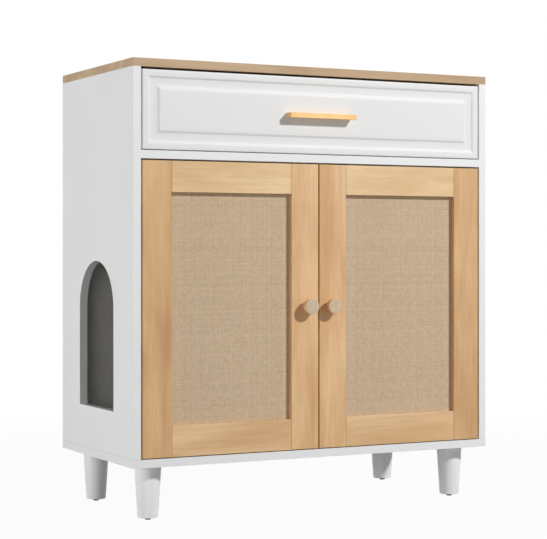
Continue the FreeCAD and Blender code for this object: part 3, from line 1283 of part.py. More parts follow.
def cabinet_screws(screw):
    """Identical screws of the hinge plates, hinge arms, cabinet slide members and catch."""
    places = []
    for sign, inwards in (("-", RIGHTWARD), ("", LEFTWARD)):
        turn = "+" if sign == "-" else "-"

        def fixed(proud, row, height):
            across = f"{sign}{INNER} {turn} {proud}"
            places.append(aimed(point(across, f"{FRONT} + {row}", f"{FLOOR} + {height}"), inwards))
        for height in hinge_heights():
            for step in "+-":
                fixed("dims.plate_wing", "dims.plate_screw_row", f"{height} {step} dims.plate_screw_half")
            fixed("(dims.arm_plane + dims.strip / 2)", "dims.arm_screw_row", height)
        for row in slide_screw_rows():
            fixed("dims.slide_web", row, f"{BOX_LOW} + dims.slide_height - {FLOOR}")
    places += [aimed(point(x, f"{FRONT} + {y}", f"{SHELF_LOW} - 2.5"), DOWN)
               for x, y in catch_screw_spots()]
    group("cabinet_fitting_screws", copies(screw, places))


def back_fixings():
    """Countersunk screws of the back panel."""
    screw = countersunk_screw()
    doc.recompute()
    places = [aimed(point(x, f"{FRONT} + dims.cabinet_depth", f"{FLOOR} - dims.back_rebate + {height}"),
                    BACKWARD) for x, height in back_screw_spots()]
    group("back_panel_screws", copies(screw, places))


def main():
    """Builds every sub-part in order."""
    fill_sheet()
    make_carcass()
    back_fixings()
    screw = fitting_screw()
    knob_screw = machine_screw("knob_screw_pattern", "dims.knob_screw_radius",
                               "(dims.door_thickness + dims.knob_screw_in_knob)")
    arm, plate, cup, pin = goose_neck_arm(), mounting_plate(), hinge_cup(), hinge_pin()
    doc.recompute()
    make_drawer(screw)
    make_slides()
    magnetic_catch()
    cabinet_screws(screw)
    plates = []
    for word, side in (("left", -1), ("right", 1)):
        places = hinge_places(INNER, "0", side)
        group(f"{word}_door_hinge_arms", copies(arm, places))
        plates += copies(plate, places)
        make_door(word, side, screw, knob_screw, cup, pin)
    group("hinge_mounting_plates", plates)


def check_and_write():
    """Stops on any failed object or bad shape, then writes one file for each sub-part."""
    doc.recompute()
    for item in doc.Objects:
        if {"Invalid", "Error"} & set(item.State):
            raise RuntimeError(f"{item.Label} failed: {item.State}")
    for piece in pieces:
        if piece.Shape.isNull() or not piece.Shape.isValid():
            raise RuntimeError(f"{piece.Label} has no valid shape")
    os.makedirs("parts", exist_ok=True)
    for piece in pieces:
        piece.Shape.exportStep(f"parts/{piece.Label}.step")
    print(f"{len(pieces)} sub-parts written")


main()
check_and_write()
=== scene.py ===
"""Looks of the litter box cabinet: finishes, added surfaces, studio light and camera."""

import logging
import math
from collections.abc import Sequence
from dataclasses import dataclass
from enum import Enum
from typing import ClassVar

import bpy
import numpy as np
from mathutils import Matrix, Vector


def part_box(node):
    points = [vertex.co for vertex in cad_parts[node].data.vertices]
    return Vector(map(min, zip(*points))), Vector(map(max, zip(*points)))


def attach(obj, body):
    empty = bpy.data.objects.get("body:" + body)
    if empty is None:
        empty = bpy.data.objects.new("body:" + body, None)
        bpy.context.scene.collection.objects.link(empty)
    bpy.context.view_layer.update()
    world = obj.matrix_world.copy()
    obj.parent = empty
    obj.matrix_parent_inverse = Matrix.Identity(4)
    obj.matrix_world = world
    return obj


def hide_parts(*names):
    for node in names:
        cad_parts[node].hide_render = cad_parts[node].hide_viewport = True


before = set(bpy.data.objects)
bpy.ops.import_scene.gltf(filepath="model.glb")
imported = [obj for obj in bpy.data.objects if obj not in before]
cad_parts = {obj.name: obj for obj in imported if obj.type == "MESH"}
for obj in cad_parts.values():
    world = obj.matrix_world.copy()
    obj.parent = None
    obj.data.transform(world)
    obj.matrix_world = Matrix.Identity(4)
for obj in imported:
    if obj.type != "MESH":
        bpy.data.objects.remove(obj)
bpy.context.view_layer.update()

LOG = logging.getLogger("cabinet")

MM = 0.001
TIP = 0.0001 * MM       # radius of a ring that stands for a point
FAR_AWAY = 9.0          # metres; a joint line set here meets no wood

Colour = tuple[int, int, int]
Spot = tuple[float, float, float]
Corner = tuple[float, float, float]


# ---- geometry helpers --------------------------------------------------------------------------

@dataclass
class Surface:
    """Points and faces of one surface, before it becomes an object.

    Args:
        points: Array of shape (n, 3), in metres.
        faces: Array of shape (m, 3) or (m, 4) with point numbers.
        uv: Optional array of shape (n, 2) with a surface coordinate for each point, in metres.
    """

    points: np.ndarray
    faces: np.ndarray
    uv: np.ndarray | None = None

    def moved(self, matrix: Matrix) -> "Surface":
        """The same surface set down elsewhere.

        Args:
            matrix: The placing as a 4 by 4 matrix.

        Returns:
            A new surface with the same faces; a mirrored one keeps its outside.
        """
        table = np.array(matrix)
        points = self.points @ table[:3, :3].T + table[:3, 3]
        mirrored = np.linalg.det(table[:3, :3]) < 0
        return Surface(points, self.faces[:, ::-1] if mirrored else self.faces, self.uv)


@dataclass(frozen=True)
class Solid:
    """One of the separate solids of a CAD node.

    Args:
        low: Lowest corner of its box.
        high: Highest corner of its box.
        points: Its points, of shape (n, 3).
    """

    low: np.ndarray
    high: np.ndarray
    points: np.ndarray

    @property
    def middle(self) -> np.ndarray:
        """Middle of its box."""
        return (self.low + self.high) / 2


def joined(surfaces: Sequence[Surface]) -> Surface:
    """Puts several surfaces of the same face kind into one.

    Args:
        surfaces: The surfaces, all with a coordinate table or all without.

    Returns:
        One surface.
    """
    starts = np.cumsum([0] + [len(item.points) for item in surfaces[:-1]])
    points = np.concatenate([item.points for item in surfaces])
    faces = np.concatenate([item.faces + start for item, start in zip(surfaces, starts)])
    tables = [item.uv for item in surfaces]
    uv = None if any(table is None for table in tables) else np.concatenate(tables)
    return Surface(points, faces, uv)


def grid_faces(rows: int, columns: int, closed: bool = False) -> np.ndarray:
    """Quads of a grid of points numbered row by row.

    Args:
        rows: Number of rows of points.
        columns: Number of points in a row.
        closed: Whether each row runs round to its start.

    Returns:
        Array of shape (m, 4).
    """
    across = columns if closed else columns - 1
    row, column = np.meshgrid(np.arange(rows - 1), np.arange(across), indexing="ij")
    following = (column + 1) % columns
    corners = (row * columns + column, row * columns + following,
               (row + 1) * columns + following, (row + 1) * columns + column)
    return np.stack(corners, axis=-1).reshape(-1, 4)


def rings(radii: np.ndarray, sides: int) -> tuple[np.ndarray, np.ndarray]:
    """X and Y of rings about Z: radius times the cosine and the sine of the turn.

    Args:
        radii: Radius of each ring.
        sides: Points in a ring.

    Returns:
        Two arrays of shape (rings, sides).
    """
    turn = np.linspace(0, 2 * math.pi, sides, endpoint=False)
    return radii[:, None] * np.cos(turn), radii[:, None] * np.sin(turn)


def skin(x: np.ndarray, y: np.ndarray, z: np.ndarray) -> Surface:
    """The surface through closed rings.

    Args:
        x: X of the points, of shape (rings, sides).
        y: Y of the points.
        z: Z of the points.

    Returns:
        A surface of quads.
    """
    points = np.stack([x, y, z], axis=-1).reshape(-1, 3)
    return Surface(points, grid_faces(*x.shape, closed=True))


def turned(profile: Sequence[tuple[float, float]], sides: int) -> Surface:
    """A surface of revolution about Z, with a ring at the height of each profile point.

    Args:
        profile: Radius and height pairs in metres, from the lower end to the upper end, outside to
            the right of the direction of travel.
        sides: Points in a ring.

    Returns:
        A surface of quads with its outside facing away from the axis.
    """
    table = np.array(profile, float)
    x, y = rings(table[:, 0], sides)
    return skin(x, y, np.repeat(table[:, 1, None], sides, axis=1))


def rounded(corners: Sequence[Corner], steps: int = 6) -> list[tuple[float, float]]:
    """A line through corners, each turned by an arc of the given radius.

    Args:
        corners: x, y and corner radius; the first and the last are the ends.
        steps: Points in an arc.

    Returns:
        Points of the line.
    """
    line = [(corners[0][0], corners[0][1])]
    for before, corner, after in zip(corners, corners[1:], corners[2:]):
        here, radius = np.array(corner[:2]), corner[2]
        back = np.array(before[:2]) - here
        ahead = np.array(after[:2]) - here
        back /= max(np.linalg.norm(back), 1e-12)
        ahead /= max(np.linalg.norm(ahead), 1e-12)
        if radius <= 0:
            line.append((float(here[0]), float(here[1])))
            continue
        half = math.acos(float(np.clip(back @ ahead, -1, 1))) / 2
        reach = radius / math.tan(half)
        centre = here + (back + ahead) / np.linalg.norm(back + ahead) * radius / math.sin(half)
        start, stop = here + back * reach - centre, here + ahead * reach - centre
        for share in np.linspace(0, 1, steps):
            spoke = start * (1 - share) + stop * share
            spot = centre + spoke / np.linalg.norm(spoke) * radius
            line.append((float(spot[0]), float(spot[1])))
    line.append((corners[-1][0], corners[-1][1]))
    return line


def bar(across: np.ndarray, along: np.ndarray, half: tuple[float, float],
        soft: tuple[float, float]) -> np.ndarray:
    """A straight bar about the middle: 1 inside, falling evenly to 0 over its edges.

    Args:
        across: Distance across the bar.
        along: Distance along the bar.
        half: Half width and half length.
        soft: Width of the falling edge at the sides and at the ends.

    Returns:
        The share at each point.
    """
    sides = np.clip((half[0] - np.abs(across)) / soft[0] + 0.5, 0, 1)
    ends = np.clip((half[1] - np.abs(along)) / soft[1] + 0.5, 0, 1)
    return sides * ends


def along_y(outline: Sequence[tuple[float, float]], start: float, stop: float,
            flipped: bool) -> Surface:
    """A closed outline in X and Z run along Y, with its ends closed by rows of quads.

    Args:
        outline: X and Z of its points in order, out along one side and back along the other.
        start: Y of one end.
        stop: Y of the other end.
        flipped: Whether the outline runs the other way round.

    Returns:
        A surface of quads.
    """
    table = np.array(outline)
    count = len(table)
    points = np.concatenate([np.column_stack([table[:, 0], np.full(count, y), table[:, 1]])
                             for y in (start, stop)])
    index = np.arange(count // 2 - 1)
    cap = np.stack([index, index + 1, count - 2 - index, count - 1 - index], axis=1)
    faces = np.concatenate([grid_faces(2, count, closed=True), cap[:, ::-1], cap + count])
    return Surface(points, faces[:, ::-1] if flipped else faces)


def placed(spot: Sequence[float], direction: Sequence[float]) -> Matrix:
    """The placing of a pattern drawn along +Z.

    Args:
        spot: Where its origin goes.
        direction: Where its Z points.

    Returns:
        The matrix.
    """
    turn = Vector((0, 0, 1)).rotation_difference(Vector(direction)).to_matrix().to_4x4()
    return Matrix.Translation(spot) @ turn


def solids(node: str) -> list[Solid]:
    """The separate solids of a CAD node.

    Points joined by an edge belong together; shared places join, because each solid is closed.

    Args:
        node: Name of the node.

    Returns:
        The solids, ordered by the middles of their boxes.
    """
    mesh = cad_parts[node].data
    points = np.zeros(len(mesh.vertices) * 3)
    mesh.vertices.foreach_get("co", points)
    points = points.reshape(-1, 3)
    _, place = np.unique(np.round(points, 6), axis=0, return_inverse=True)
    place = place.ravel()
    edges = np.zeros(len(mesh.edges) * 2, np.int64)
    mesh.edges.foreach_get("vertices", edges)
    ends = place[edges.reshape(-1, 2)]
    label = np.arange(place.max() + 1)
    while True:
        lowest = label.copy()
        np.minimum.at(lowest, ends[:, 0], label[ends[:, 1]])
        np.minimum.at(lowest, ends[:, 1], label[ends[:, 0]])
        if np.array_equal(lowest, label):
            break
        label = lowest
    groups = [points[label[place] == mark] for mark in np.unique(label[place])]
    found = [Solid(group.min(0), group.max(0), group) for group in groups]
    return sorted(found, key=lambda solid: tuple(np.round(solid.middle, 5)))


# ---- shader helpers ----------------------------------------------------------------------------

class Graph:
    """A short way to write a node tree.

    Args:
        tree: The tree to write in.
    """

    def __init__(self, tree: bpy.types.NodeTree) -> None:
        """Takes an empty tree."""
        self.tree = tree
        self.tree.nodes.clear()

    def node(self, kind: str, inputs: dict[str | int, object] | None = None,
             **settings: object) -> bpy.types.Node:
        """Adds a node.

        Args:
            kind: Its type name.
            inputs: Values or sockets for its inputs, by name or number.
            settings: Its properties by name.

        Returns:
            The node.
        """
        item = self.tree.nodes.new(kind)
        for name, value in settings.items():
            setattr(item, name, value)
        for key, value in (inputs or {}).items():
            self.put(value, item.inputs[key])
        return item

    def put(self, value: object, socket: bpy.types.NodeSocket) -> None:
        """Links a socket to an input, or sets the input's own value.

        Args:
            value: An output socket or a plain value.
            socket: The input.
        """
        if isinstance(value, bpy.types.NodeSocket):
            self.tree.links.new(value, socket)
        else:
            socket.default_value = value

    def math(self, operation: str, first: object, second: object = 0.0) -> bpy.types.NodeSocket:
        """One arithmetic step.

        Args:
            operation: Name of the operation.
            first: First number or socket.
            second: Second number or socket.

        Returns:
            The result.
        """
        return self.node("ShaderNodeMath", {0: first, 1: second}, operation=operation).outputs[0]

    def weighted(self, *parts: tuple[object, float]) -> bpy.types.NodeSocket:
        """Adds values, each times its weight.

        Args:
            parts: Pairs of a value and its weight.

        Returns:
            The sum.
        """
        total, *others = [self.math("MULTIPLY", value, weight) for value, weight in parts]
        for item in others:
            total = self.math("ADD", total, item)
        return total

    def mix(self, share: object, first: object, second: object) -> bpy.types.NodeSocket:
        """Mixes two colours.

        Args:
            share: How much of the second, 0 to 1.
            first: First colour.
            second: Second colour.

        Returns:
            The mixed colour.
        """
        return self.node("ShaderNodeMix", {0: share, 6: first, 7: second},
                         data_type="RGBA").outputs[2]

    def mix_shader(self, share: object, first: object, second: object) -> bpy.types.NodeSocket:
        """Mixes two shaders.

        Args:
            share: How much of the second, 0 to 1.
            first: First shader.
            second: Second shader.

        Returns:
            The mixed shader.
        """
        return self.node("ShaderNodeMixShader", {0: share, 1: first, 2: second}).outputs[0]

    def remap(self, value: object, low: object, high: object, to_low: object = 0.0,
              to_high: object = 1.0, smooth: bool = False) -> bpy.types.NodeSocket:
        """Carries a range over to another, held at its ends.

        Args:
            value: What is carried over.
            low: Lower end of the range.
            high: Upper end of the range.
            to_low: Result at the lower end.
            to_high: Result at the upper end.
            smooth: Whether the ends ease in.

        Returns:
            The result.
        """
        kind = "SMOOTHSTEP" if smooth else "LINEAR"
        numbers = dict(enumerate((value, low, high, to_low, to_high)))
        return self.node("ShaderNodeMapRange", numbers, interpolation_type=kind).outputs[0]

    def around(self, value: object, middle: object, below: float,
               above: float) -> bpy.types.NodeSocket:
        """Carries 0.3 to 0.7 over to a little either side of a middle value.

        Args:
            value: What is carried over.
            middle: The middle value.
            below: Added to it at 0.3.
            above: Added to it at 0.7.

        Returns:
            The result.
        """
        return self.remap(value, 0.3, 0.7, self.math("ADD", middle, below),
                          self.math("ADD", middle, above))

    def noise(self, place: object, scale: object, detail: float = 3.0, roughness: float = 0.5,
              distortion: float = 0.0) -> bpy.types.NodeSocket:
        """Fractal noise between 0 and 1.

        Args:
            place: Coordinate.
            scale: Features in a metre.
            detail: Octaves.
            roughness: Strength of the finer octaves.
            distortion: How much the noise warps itself.

        Returns:
            The value.
        """
        inputs = {"Vector": place, "Scale": scale, "Detail": detail, "Roughness": roughness,
                  "Distortion": distortion}
        return self.node("ShaderNodeTexNoise", inputs).outputs[0]

    def drawn_out(self, place: object, along: object, factor: float,
                  offset: Sequence[object] = (0.0, 0.0, 0.0)) -> bpy.types.NodeSocket:
        """A coordinate drawn out along one axis.

        Each axis is scaled by 1 plus (factor less 1) times its share of the direction.

        Args:
            place: Coordinate.
            along: The direction, 1 on its axis and 0 on the others.
            factor: Scale along the axis; less than 1 makes features longer.
            offset: Shift after scaling.

        Returns:
            The coordinate.
        """
        scale = self.node("ShaderNodeVectorMath", {0: along, 1: (factor - 1,) * 3, 2: (1, 1, 1)},
                          operation="MULTIPLY_ADD").outputs[0]
        shift = self.node("ShaderNodeCombineXYZ", dict(enumerate(offset))).outputs[0]
        inputs = {"Vector": place, "Scale": scale, "Location": shift}
        return self.node("ShaderNodeMapping", inputs).outputs[0]

    def line_at(self, place: object, axis: int, level: object, half: tuple[float, float],
                strength: float) -> bpy.types.NodeSocket:
        """A thin line where one coordinate has a given value.

        Args:
            place: Coordinate.
            axis: Number of the axis.
            level: Where the line is.
            half: Distances from the line where it starts to fade and is gone.
            strength: Its strength in the middle.

        Returns:
            The strength, down to 0 beside the line.
        """
        apart = self.node("ShaderNodeSeparateXYZ", {0: place})
        gap = self.math("ABSOLUTE", self.math("SUBTRACT", apart.outputs[axis], level))
        return self.remap(gap, *half, strength, 0.0)


def linear(red: int, green: int, blue: int) -> tuple[float, float, float, float]:
    """A display colour as scene values.

    Args:
        red: 0 to 255.
        green: 0 to 255.
        blue: 0 to 255.

    Returns:
        Red, green, blue and alpha for a socket.
    """
    shares = [value / 255 for value in (red, green, blue)]
    parts = [part / 12.92 if part <= 0.04045 else ((part + 0.055) / 1.055) ** 2.4
             for part in shares]
    return parts[0], parts[1], parts[2], 1.0


# ---- finishes ----------------------------------------------------------------------------------

class Grain(Enum):
    """The axis along which a wood or a brushed metal runs."""

    ACROSS = (1.0, 0.0, 0.0)
    DEEP = (0.0, 1.0, 0.0)
    UPRIGHT = (0.0, 0.0, 1.0)


@dataclass(frozen=True)
class Finish:
    """What a piece is made of.

    Each kind of finish has one shader group, built once and given each material's own values.

    Args:
        name: Name of the material.
        slot: The record's material slot; not used.
        light: Main display colour.
        dark: Second display colour.
        pore: Colour of pores, seams or fibres.
        rough: Middle roughness.
        relief: Strength of the fine relief.
    """

    name: str
    slot: str
    light: Colour
    dark: Colour
    pore: Colour = (90, 70, 50)
    rough: float = 0.5
    relief: float = 0.3

    kind: ClassVar[str]
    relief_height: ClassVar[float]

    def inputs(self) -> dict[str, object]:
        """Values for the group's inputs, by name: numbers, directions and colours."""
        return {"Light": linear(*self.light), "Dark": linear(*self.dark),
                "Pore": linear(*self.pore), "Rough": self.rough, "Relief": self.relief}

    def extras(self) -> dict[str, float]:
        """Uniform values for the shader's own sockets, by name."""
        return {}

    def place(self, graph: Graph) -> bpy.types.NodeSocket:
        """The coordinate that the group reads.

        Args:
            graph: Where to write.

        Returns:
            The coordinate.
        """
        return graph.node("ShaderNodeTexCoord").outputs["Object"]

    def write(self, graph: Graph, inputs: dict[str, bpy.types.NodeSocket]) -> tuple:
        """Writes the inside of the group.

        Args:
            graph: Where to write.
            inputs: The group's inputs by name.

        Returns:
            Sockets for the colour, the roughness and the height of the relief.
        """
        raise NotImplementedError

    def group(self) -> bpy.types.NodeTree:
        """The shader group of this kind of finish, made on first use.

        Returns:
            The group, which puts out Color, Roughness and Normal.
        """
        ready = bpy.data.node_groups.get(self.kind)
        if ready is not None:
            return ready
        tree = bpy.data.node_groups.new(self.kind, "ShaderNodeTree")
        forms = {1: "Float", 3: "Vector", 4: "Color"}
        sockets = [("Place", "INPUT", "Vector")]
        sockets += [(title, "INPUT", forms[np.size(value)])
                    for title, value in self.inputs().items()]
        sockets += [("Color", "OUTPUT", "Color"), ("Roughness", "OUTPUT", "Float"),
                    ("Normal", "OUTPUT", "Vector")]
        for title, way, form in sockets:
            tree.interface.new_socket(title, in_out=way, socket_type="NodeSocket" + form)
        graph = Graph(tree)
        start = graph.node("NodeGroupInput")
        inputs = {socket.name: socket for socket in start.outputs if socket.name}
        colour, rough, height = self.write(graph, inputs)
        normal = graph.node("ShaderNodeBump", {"Strength": inputs["Relief"], "Height": height,
                                               "Distance": self.relief_height}).outputs[0]
        graph.node("NodeGroupOutput", {"Color": colour, "Roughness": rough, "Normal": normal})
        return tree

    def material(self) -> bpy.types.Material:
        """The material, made on first use, with a name apart from the frame's own.

        Returns:
            The material.
        """
        label = self.name + "_finish"
        ready = bpy.data.materials.get(label)
        if ready is not None:
            return ready
        material = bpy.data.materials.new(label)
        material.use_nodes = True
        graph = Graph(material.node_tree)
        effect = graph.node("ShaderNodeGroup", node_tree=self.group())
        for title, value in {"Place": self.place(graph), **self.inputs()}.items():
            graph.put(value, effect.inputs[title])
        looks = {"Base Color": effect.outputs["Color"], "Roughness": effect.outputs["Roughness"],
                 "Normal": effect.outputs["Normal"], **self.extras()}
        shader = graph.node("ShaderNodeBsdfPrincipled", looks)
        graph.node("ShaderNodeOutputMaterial", {0: shader.outputs[0]})
        return material


@dataclass(frozen=True)
class Wood(Finish):
    """Clear-finished light hardwood.

    Args:
        grain: Axis of the grain.
        streaks: Streaks in a metre.
        contrast: Half width of the tone range; smaller is stronger.
        seed: Shift that gives each piece its own figure.
        coat: Weight of the clear coat.
        joints: X of the butt joints at the ends of a rail; far away there is none.
    """

    grain: Grain = Grain.UPRIGHT
    streaks: float = 24.0
    contrast: float = 0.18
    seed: float = 0.0
    coat: float = 0.15
    joints: tuple[float, float] = (FAR_AWAY, FAR_AWAY)

    kind: ClassVar[str] = "wood"
    relief_height: ClassVar[float] = 0.4 * MM
    joint_line: ClassVar[tuple[float, float]] = (1.2 * MM, 1.9 * MM)

    def inputs(self) -> dict[str, object]:
        """Adds the grain's direction, the figure and the joints."""
        return {**super().inputs(), "Along": self.grain.value, "Streaks": self.streaks,
                "Contrast": self.contrast, "Seed": self.seed, "Start": self.joints[0],
                "Stop": self.joints[1]}

    def extras(self) -> dict[str, float]:
        """The clear coat."""
        return {"Coat Weight": self.coat, "Coat Roughness": 0.35}

    def write(self, graph: Graph, inputs: dict[str, bpy.types.NodeSocket]) -> tuple:
        """Long soft streaks, finer ones, a slow change of tone, and pores along one axis.

        Args:
            graph: Where to write.
            inputs: The group's inputs by name.

        Returns:
            Colour, roughness and height.
        """
        place, along, streaks, seed = (inputs[key] for key in ("Place", "Along", "Streaks", "Seed"))
        base = graph.drawn_out(place, along, 0.06, (seed, 0.37, 0.11))
        slow = graph.noise(base, streaks, 4.0, 0.55, 0.6)
        fine = graph.noise(base, graph.math("MULTIPLY", streaks, 6.0), 3.0, 0.6, 0.2)
        thin = graph.drawn_out(place, along, 0.025, (0.21, seed, 0.5))
        pores = graph.noise(thin, graph.math("MULTIPLY", streaks, 34.0), 2.0)
        wide = graph.drawn_out(place, along, 0.2, (0.4, 0.8, seed))
        zone = graph.noise(wide, graph.math("MULTIPLY", streaks, 0.8), 3.0, 0.5, 0.5)
        streak = graph.weighted((slow, 0.34), (fine, 0.14), (zone, 0.52))
        tone = graph.remap(streak, graph.math("SUBTRACT", 0.5, inputs["Contrast"]),
                           graph.math("ADD", 0.5, inputs["Contrast"]), smooth=True)
        pore = graph.remap(pores, 0.56, 0.72)
        colour = graph.mix(tone, inputs["Dark"], inputs["Light"])
        colour = graph.mix(graph.math("MULTIPLY", pore, 0.24), colour, inputs["Pore"])
        for end in ("Start", "Stop"):
            joint = graph.line_at(place, 0, inputs[end], self.joint_line, 0.6)
            colour = graph.mix(joint, colour, inputs["Pore"])
        rough = graph.around(streak, inputs["Rough"], 0.05, -0.04)
        return colour, rough, graph.weighted((fine, 0.6), (pore, -0.5))


@dataclass(frozen=True)
class Coated(Finish):
    """Coated board, paint or moulded plastic.

    Args:
        grain: Features of the fine relief in a metre.
        seam: Height of a level seam in metres; below the floor there is none.
    """

    grain: float = 900.0
    seam: float = -1.0

    kind: ClassVar[str] = "board"
    relief_height: ClassVar[float] = 0.3 * MM
    seam_line: ClassVar[tuple[float, float]] = (0.2 * MM, 0.6 * MM)

    def inputs(self) -> dict[str, object]:
        """Adds the fine relief and the seam."""
        return {**super().inputs(), "Grain": self.grain, "Seam": self.seam}

    def write(self, graph: Graph, inputs: dict[str, bpy.types.NodeSocket]) -> tuple:
        """A slight orange peel, faint cloudiness, fine specks and one level seam.

        Args:
            graph: Where to write.
            inputs: The group's inputs by name.

        Returns:
            Colour, roughness and height.
        """
        place, grain = inputs["Place"], inputs["Grain"]
        peel = graph.noise(place, grain, 2.0)
        cloud = graph.noise(place, 7.0)
        specks = graph.noise(place, graph.math("MULTIPLY", grain, 2.2), 1.0)
        tone = graph.weighted((cloud, 0.7), (graph.remap(specks, 0.66, 0.74), 0.2))
        colour = graph.mix(graph.remap(tone, 0.2, 0.8), inputs["Light"], inputs["Dark"])
        seam = graph.line_at(place, 2, inputs["Seam"], self.seam_line, 0.55)
        colour = graph.mix(seam, colour, inputs["Pore"])
        return colour, graph.around(cloud, inputs["Rough"], -0.04, 0.05), peel


@dataclass(frozen=True)
class Metal(Finish):
    """Plated or lacquered metal.

    Args:
        grain: Axis of the hair lines.
        lines: Lines in a metre.
        bare: 1 for bare plating, less where a satin lacquer covers it.
    """

    grain: Grain = Grain.ACROSS
    lines: float = 2600.0
    bare: float = 1.0

    kind: ClassVar[str] = "metal"
    relief_height: ClassVar[float] = 0.2 * MM

    def inputs(self) -> dict[str, object]:
        """Adds the hair lines; metal has no pores."""
        values = {**super().inputs(), "Along": self.grain.value, "Lines": self.lines}
        del values["Pore"]
        return values

    def extras(self) -> dict[str, float]:
        """How metallic it is."""
        return {"Metallic": self.bare}

    def write(self, graph: Graph, inputs: dict[str, bpy.types.NodeSocket]) -> tuple:
        """Hair lines along one axis and soft smudges.

        Args:
            graph: Where to write.
            inputs: The group's inputs by name.

        Returns:
            Colour, roughness and height.
        """
        place = inputs["Place"]
        thin = graph.drawn_out(place, inputs["Along"], 0.02)
        lines = graph.noise(thin, inputs["Lines"], 3.0, 0.6)
        smudge = graph.noise(place, 38.0)
        share = graph.remap(smudge, 0.4, 0.75, 0.0, 0.5)
        rough = graph.math("ADD", graph.around(smudge, inputs["Rough"], -0.05, 0.08),
                           graph.remap(lines, 0.3, 0.7, -0.05, 0.05))
        return graph.mix(share, inputs["Light"], inputs["Dark"]), rough, lines


@dataclass(frozen=True)
class Yarn(Finish):
    """Natural yarn of the woven panels; reads the surface coordinate."""

    kind: ClassVar[str] = "yarn"
    relief_height: ClassVar[float] = 0.3 * MM
    thread_step: ClassVar[float] = 37.7

    def extras(self) -> dict[str, float]:
        """The fuzz of loose fibres."""
        return {"Sheen Weight": 0.12, "Sheen Roughness": 0.6}

    def place(self, graph: Graph) -> bpy.types.NodeSocket:
        """The surface coordinate: along the thread, and the number of the thread."""
        return graph.node("ShaderNodeUVMap", uv_map="surface").outputs[0]

    def write(self, graph: Graph, inputs: dict[str, bpy.types.NodeSocket]) -> tuple:
        """Each thread has its own tone, with thick places and twisted fibres.

        Args:
            graph: Where to write.
            inputs: The group's inputs by name.

        Returns:
            Colour, roughness and height.
        """
        own, slub, twist = (
            graph.noise(graph.node("ShaderNodeMapping", {
                "Vector": inputs["Place"], "Scale": (rate, self.thread_step, 1.0)}).outputs[0],
                1.0, detail, fineness)
            for rate, detail, fineness in ((0.0, 1.0, 0.5), (80.0, 2.0, 0.6), (900.0, 2.0, 0.6)))
        tone = graph.remap(graph.weighted((own, 0.32), (slub, 0.48), (twist, 0.20)), 0.34, 0.66,
                           smooth=True)
        colour = graph.mix(tone, inputs["Dark"], inputs["Light"])
        colour = graph.mix(graph.remap(twist, 0.6, 0.8, 0.0, 0.35), colour, inputs["Pore"])
        return colour, graph.around(slub, inputs["Rough"], 0.04, -0.06), twist


# Tones of the door pieces: partly each piece's own, partly painted light. The top rail is painted
# lighter and the hinge stile painted darker, as if the key light fell off.
DOOR_TONES_WITH_PAINTED_LIGHT: dict[str, tuple[Colour, Colour]] = {
    "hinge_stile": ((230, 189, 137), (197, 147, 98)),
    "meeting_stile": ((242, 202, 153), (209, 160, 108)),
    "top_rail": ((249, 217, 170), (221, 181, 131)),
    "bottom_rail": ((242, 205, 157), (211, 167, 117)),
}


@dataclass(frozen=True)
class Finishes:
    """Every finish of the cabinet."""

    white_board: Coated = Coated("white_board", "white_board", (243, 244, 244), (239, 240, 240),
                                 rough=0.42, relief=0.10)
    side_board: Coated = Coated("side_board", "white_board", (243, 244, 244), (239, 240, 240),
                                pore=(140, 124, 112), rough=0.42, relief=0.10, seam=0.1231)
    drawer_board: Coated = Coated("drawer_board", "white_board", (238, 238, 238), (234, 234, 234),
                                  rough=0.40, relief=0.10)
    white_leg: Coated = Coated("white_leg", "white_leg", (248, 249, 249), (244, 245, 245),
                               rough=0.40, relief=0.14, grain=500.0)
    drawer_box: Coated = Coated("drawer_box", "drawer_box_board", (232, 232, 230), (226, 226, 224),
                                rough=0.55, relief=0.12)
    backing: Coated = Coated("backing", "backing_board", (196, 168, 132), (180, 151, 116),
                             rough=0.8, relief=0.4, grain=420.0)
    top: Wood = Wood("top_wood", "top_wood", (210, 182, 148), (186, 155, 120), (140, 108, 76),
                     rough=0.64, relief=0.2, grain=Grain.ACROSS, streaks=26.0, contrast=0.19,
                     coat=0.0)
    knob: Wood = Wood("knob_wood", "knob_wood", (234, 198, 154), (214, 174, 128), (180, 140, 100),
                      rough=0.5, relief=0.2, grain=Grain.DEEP, streaks=90.0)
    knob_end: Wood = Wood("knob_end_grain", "knob_wood", (220, 197, 168), (202, 176, 145),
                          (170, 142, 112), rough=0.55, relief=0.3, grain=Grain.DEEP, streaks=160.0)
    dowel: Wood = Wood("dowel_wood", "dowel_wood", (222, 196, 158), (204, 174, 134),
                       rough=0.7, relief=0.4, streaks=200.0)
    yarn: Yarn = Yarn("yarn", "woven_cloth", (226, 203, 173), (198, 171, 138), (160, 132, 102),
                      rough=0.85, relief=0.5)
    nickel: Metal = Metal("nickel", "nickel_steel", (206, 204, 200), (176, 174, 170),
                          rough=0.28, relief=0.05)
    zinc: Metal = Metal("zinc", "zinc_steel", (190, 194, 198), (160, 164, 168),
                        rough=0.38, relief=0.08, grain=Grain.DEEP)
    gold: Metal = Metal("satin_gold", "satin_gold", (224, 184, 128), (212, 172, 117),
                        rough=0.6, relief=0.06, bare=0.5)
    glide: Coated = Coated("glide", "dark_glide", (72, 68, 64), (56, 53, 50), rough=0.6,
                           relief=0.3, grain=700.0)
    plastic: Coated = Coated("catch_plastic", "catch_plastic", (228, 226, 220), (220, 218, 212),
                             rough=0.45, relief=0.15)
    magnet: Metal = Metal("magnet", "magnet", (150, 150, 152), (120, 120, 124), rough=0.45,
                          relief=0.1)

    def door(self, door: str, part: str, grain: Grain, seed: float,
             joints: tuple[float, float]) -> Wood:
        """Beech-toned finish of one door piece, each piece with a tone of its own and painted
        light.

        Args:
            door: Start of the door's names.
            part: Name of the piece in the door.
            grain: Axis of the grain.
            seed: Shift of the figure.
            joints: X of the butt joints at its ends.

        Returns:
            The finish.
        """
        light, dark = DOOR_TONES_WITH_PAINTED_LIGHT[part]
        return Wood(f"{door}_{part}_wood", "door_wood", light, dark, (134, 106, 80),
                    rough=0.46, relief=0.25, grain=grain, seed=seed, joints=joints)


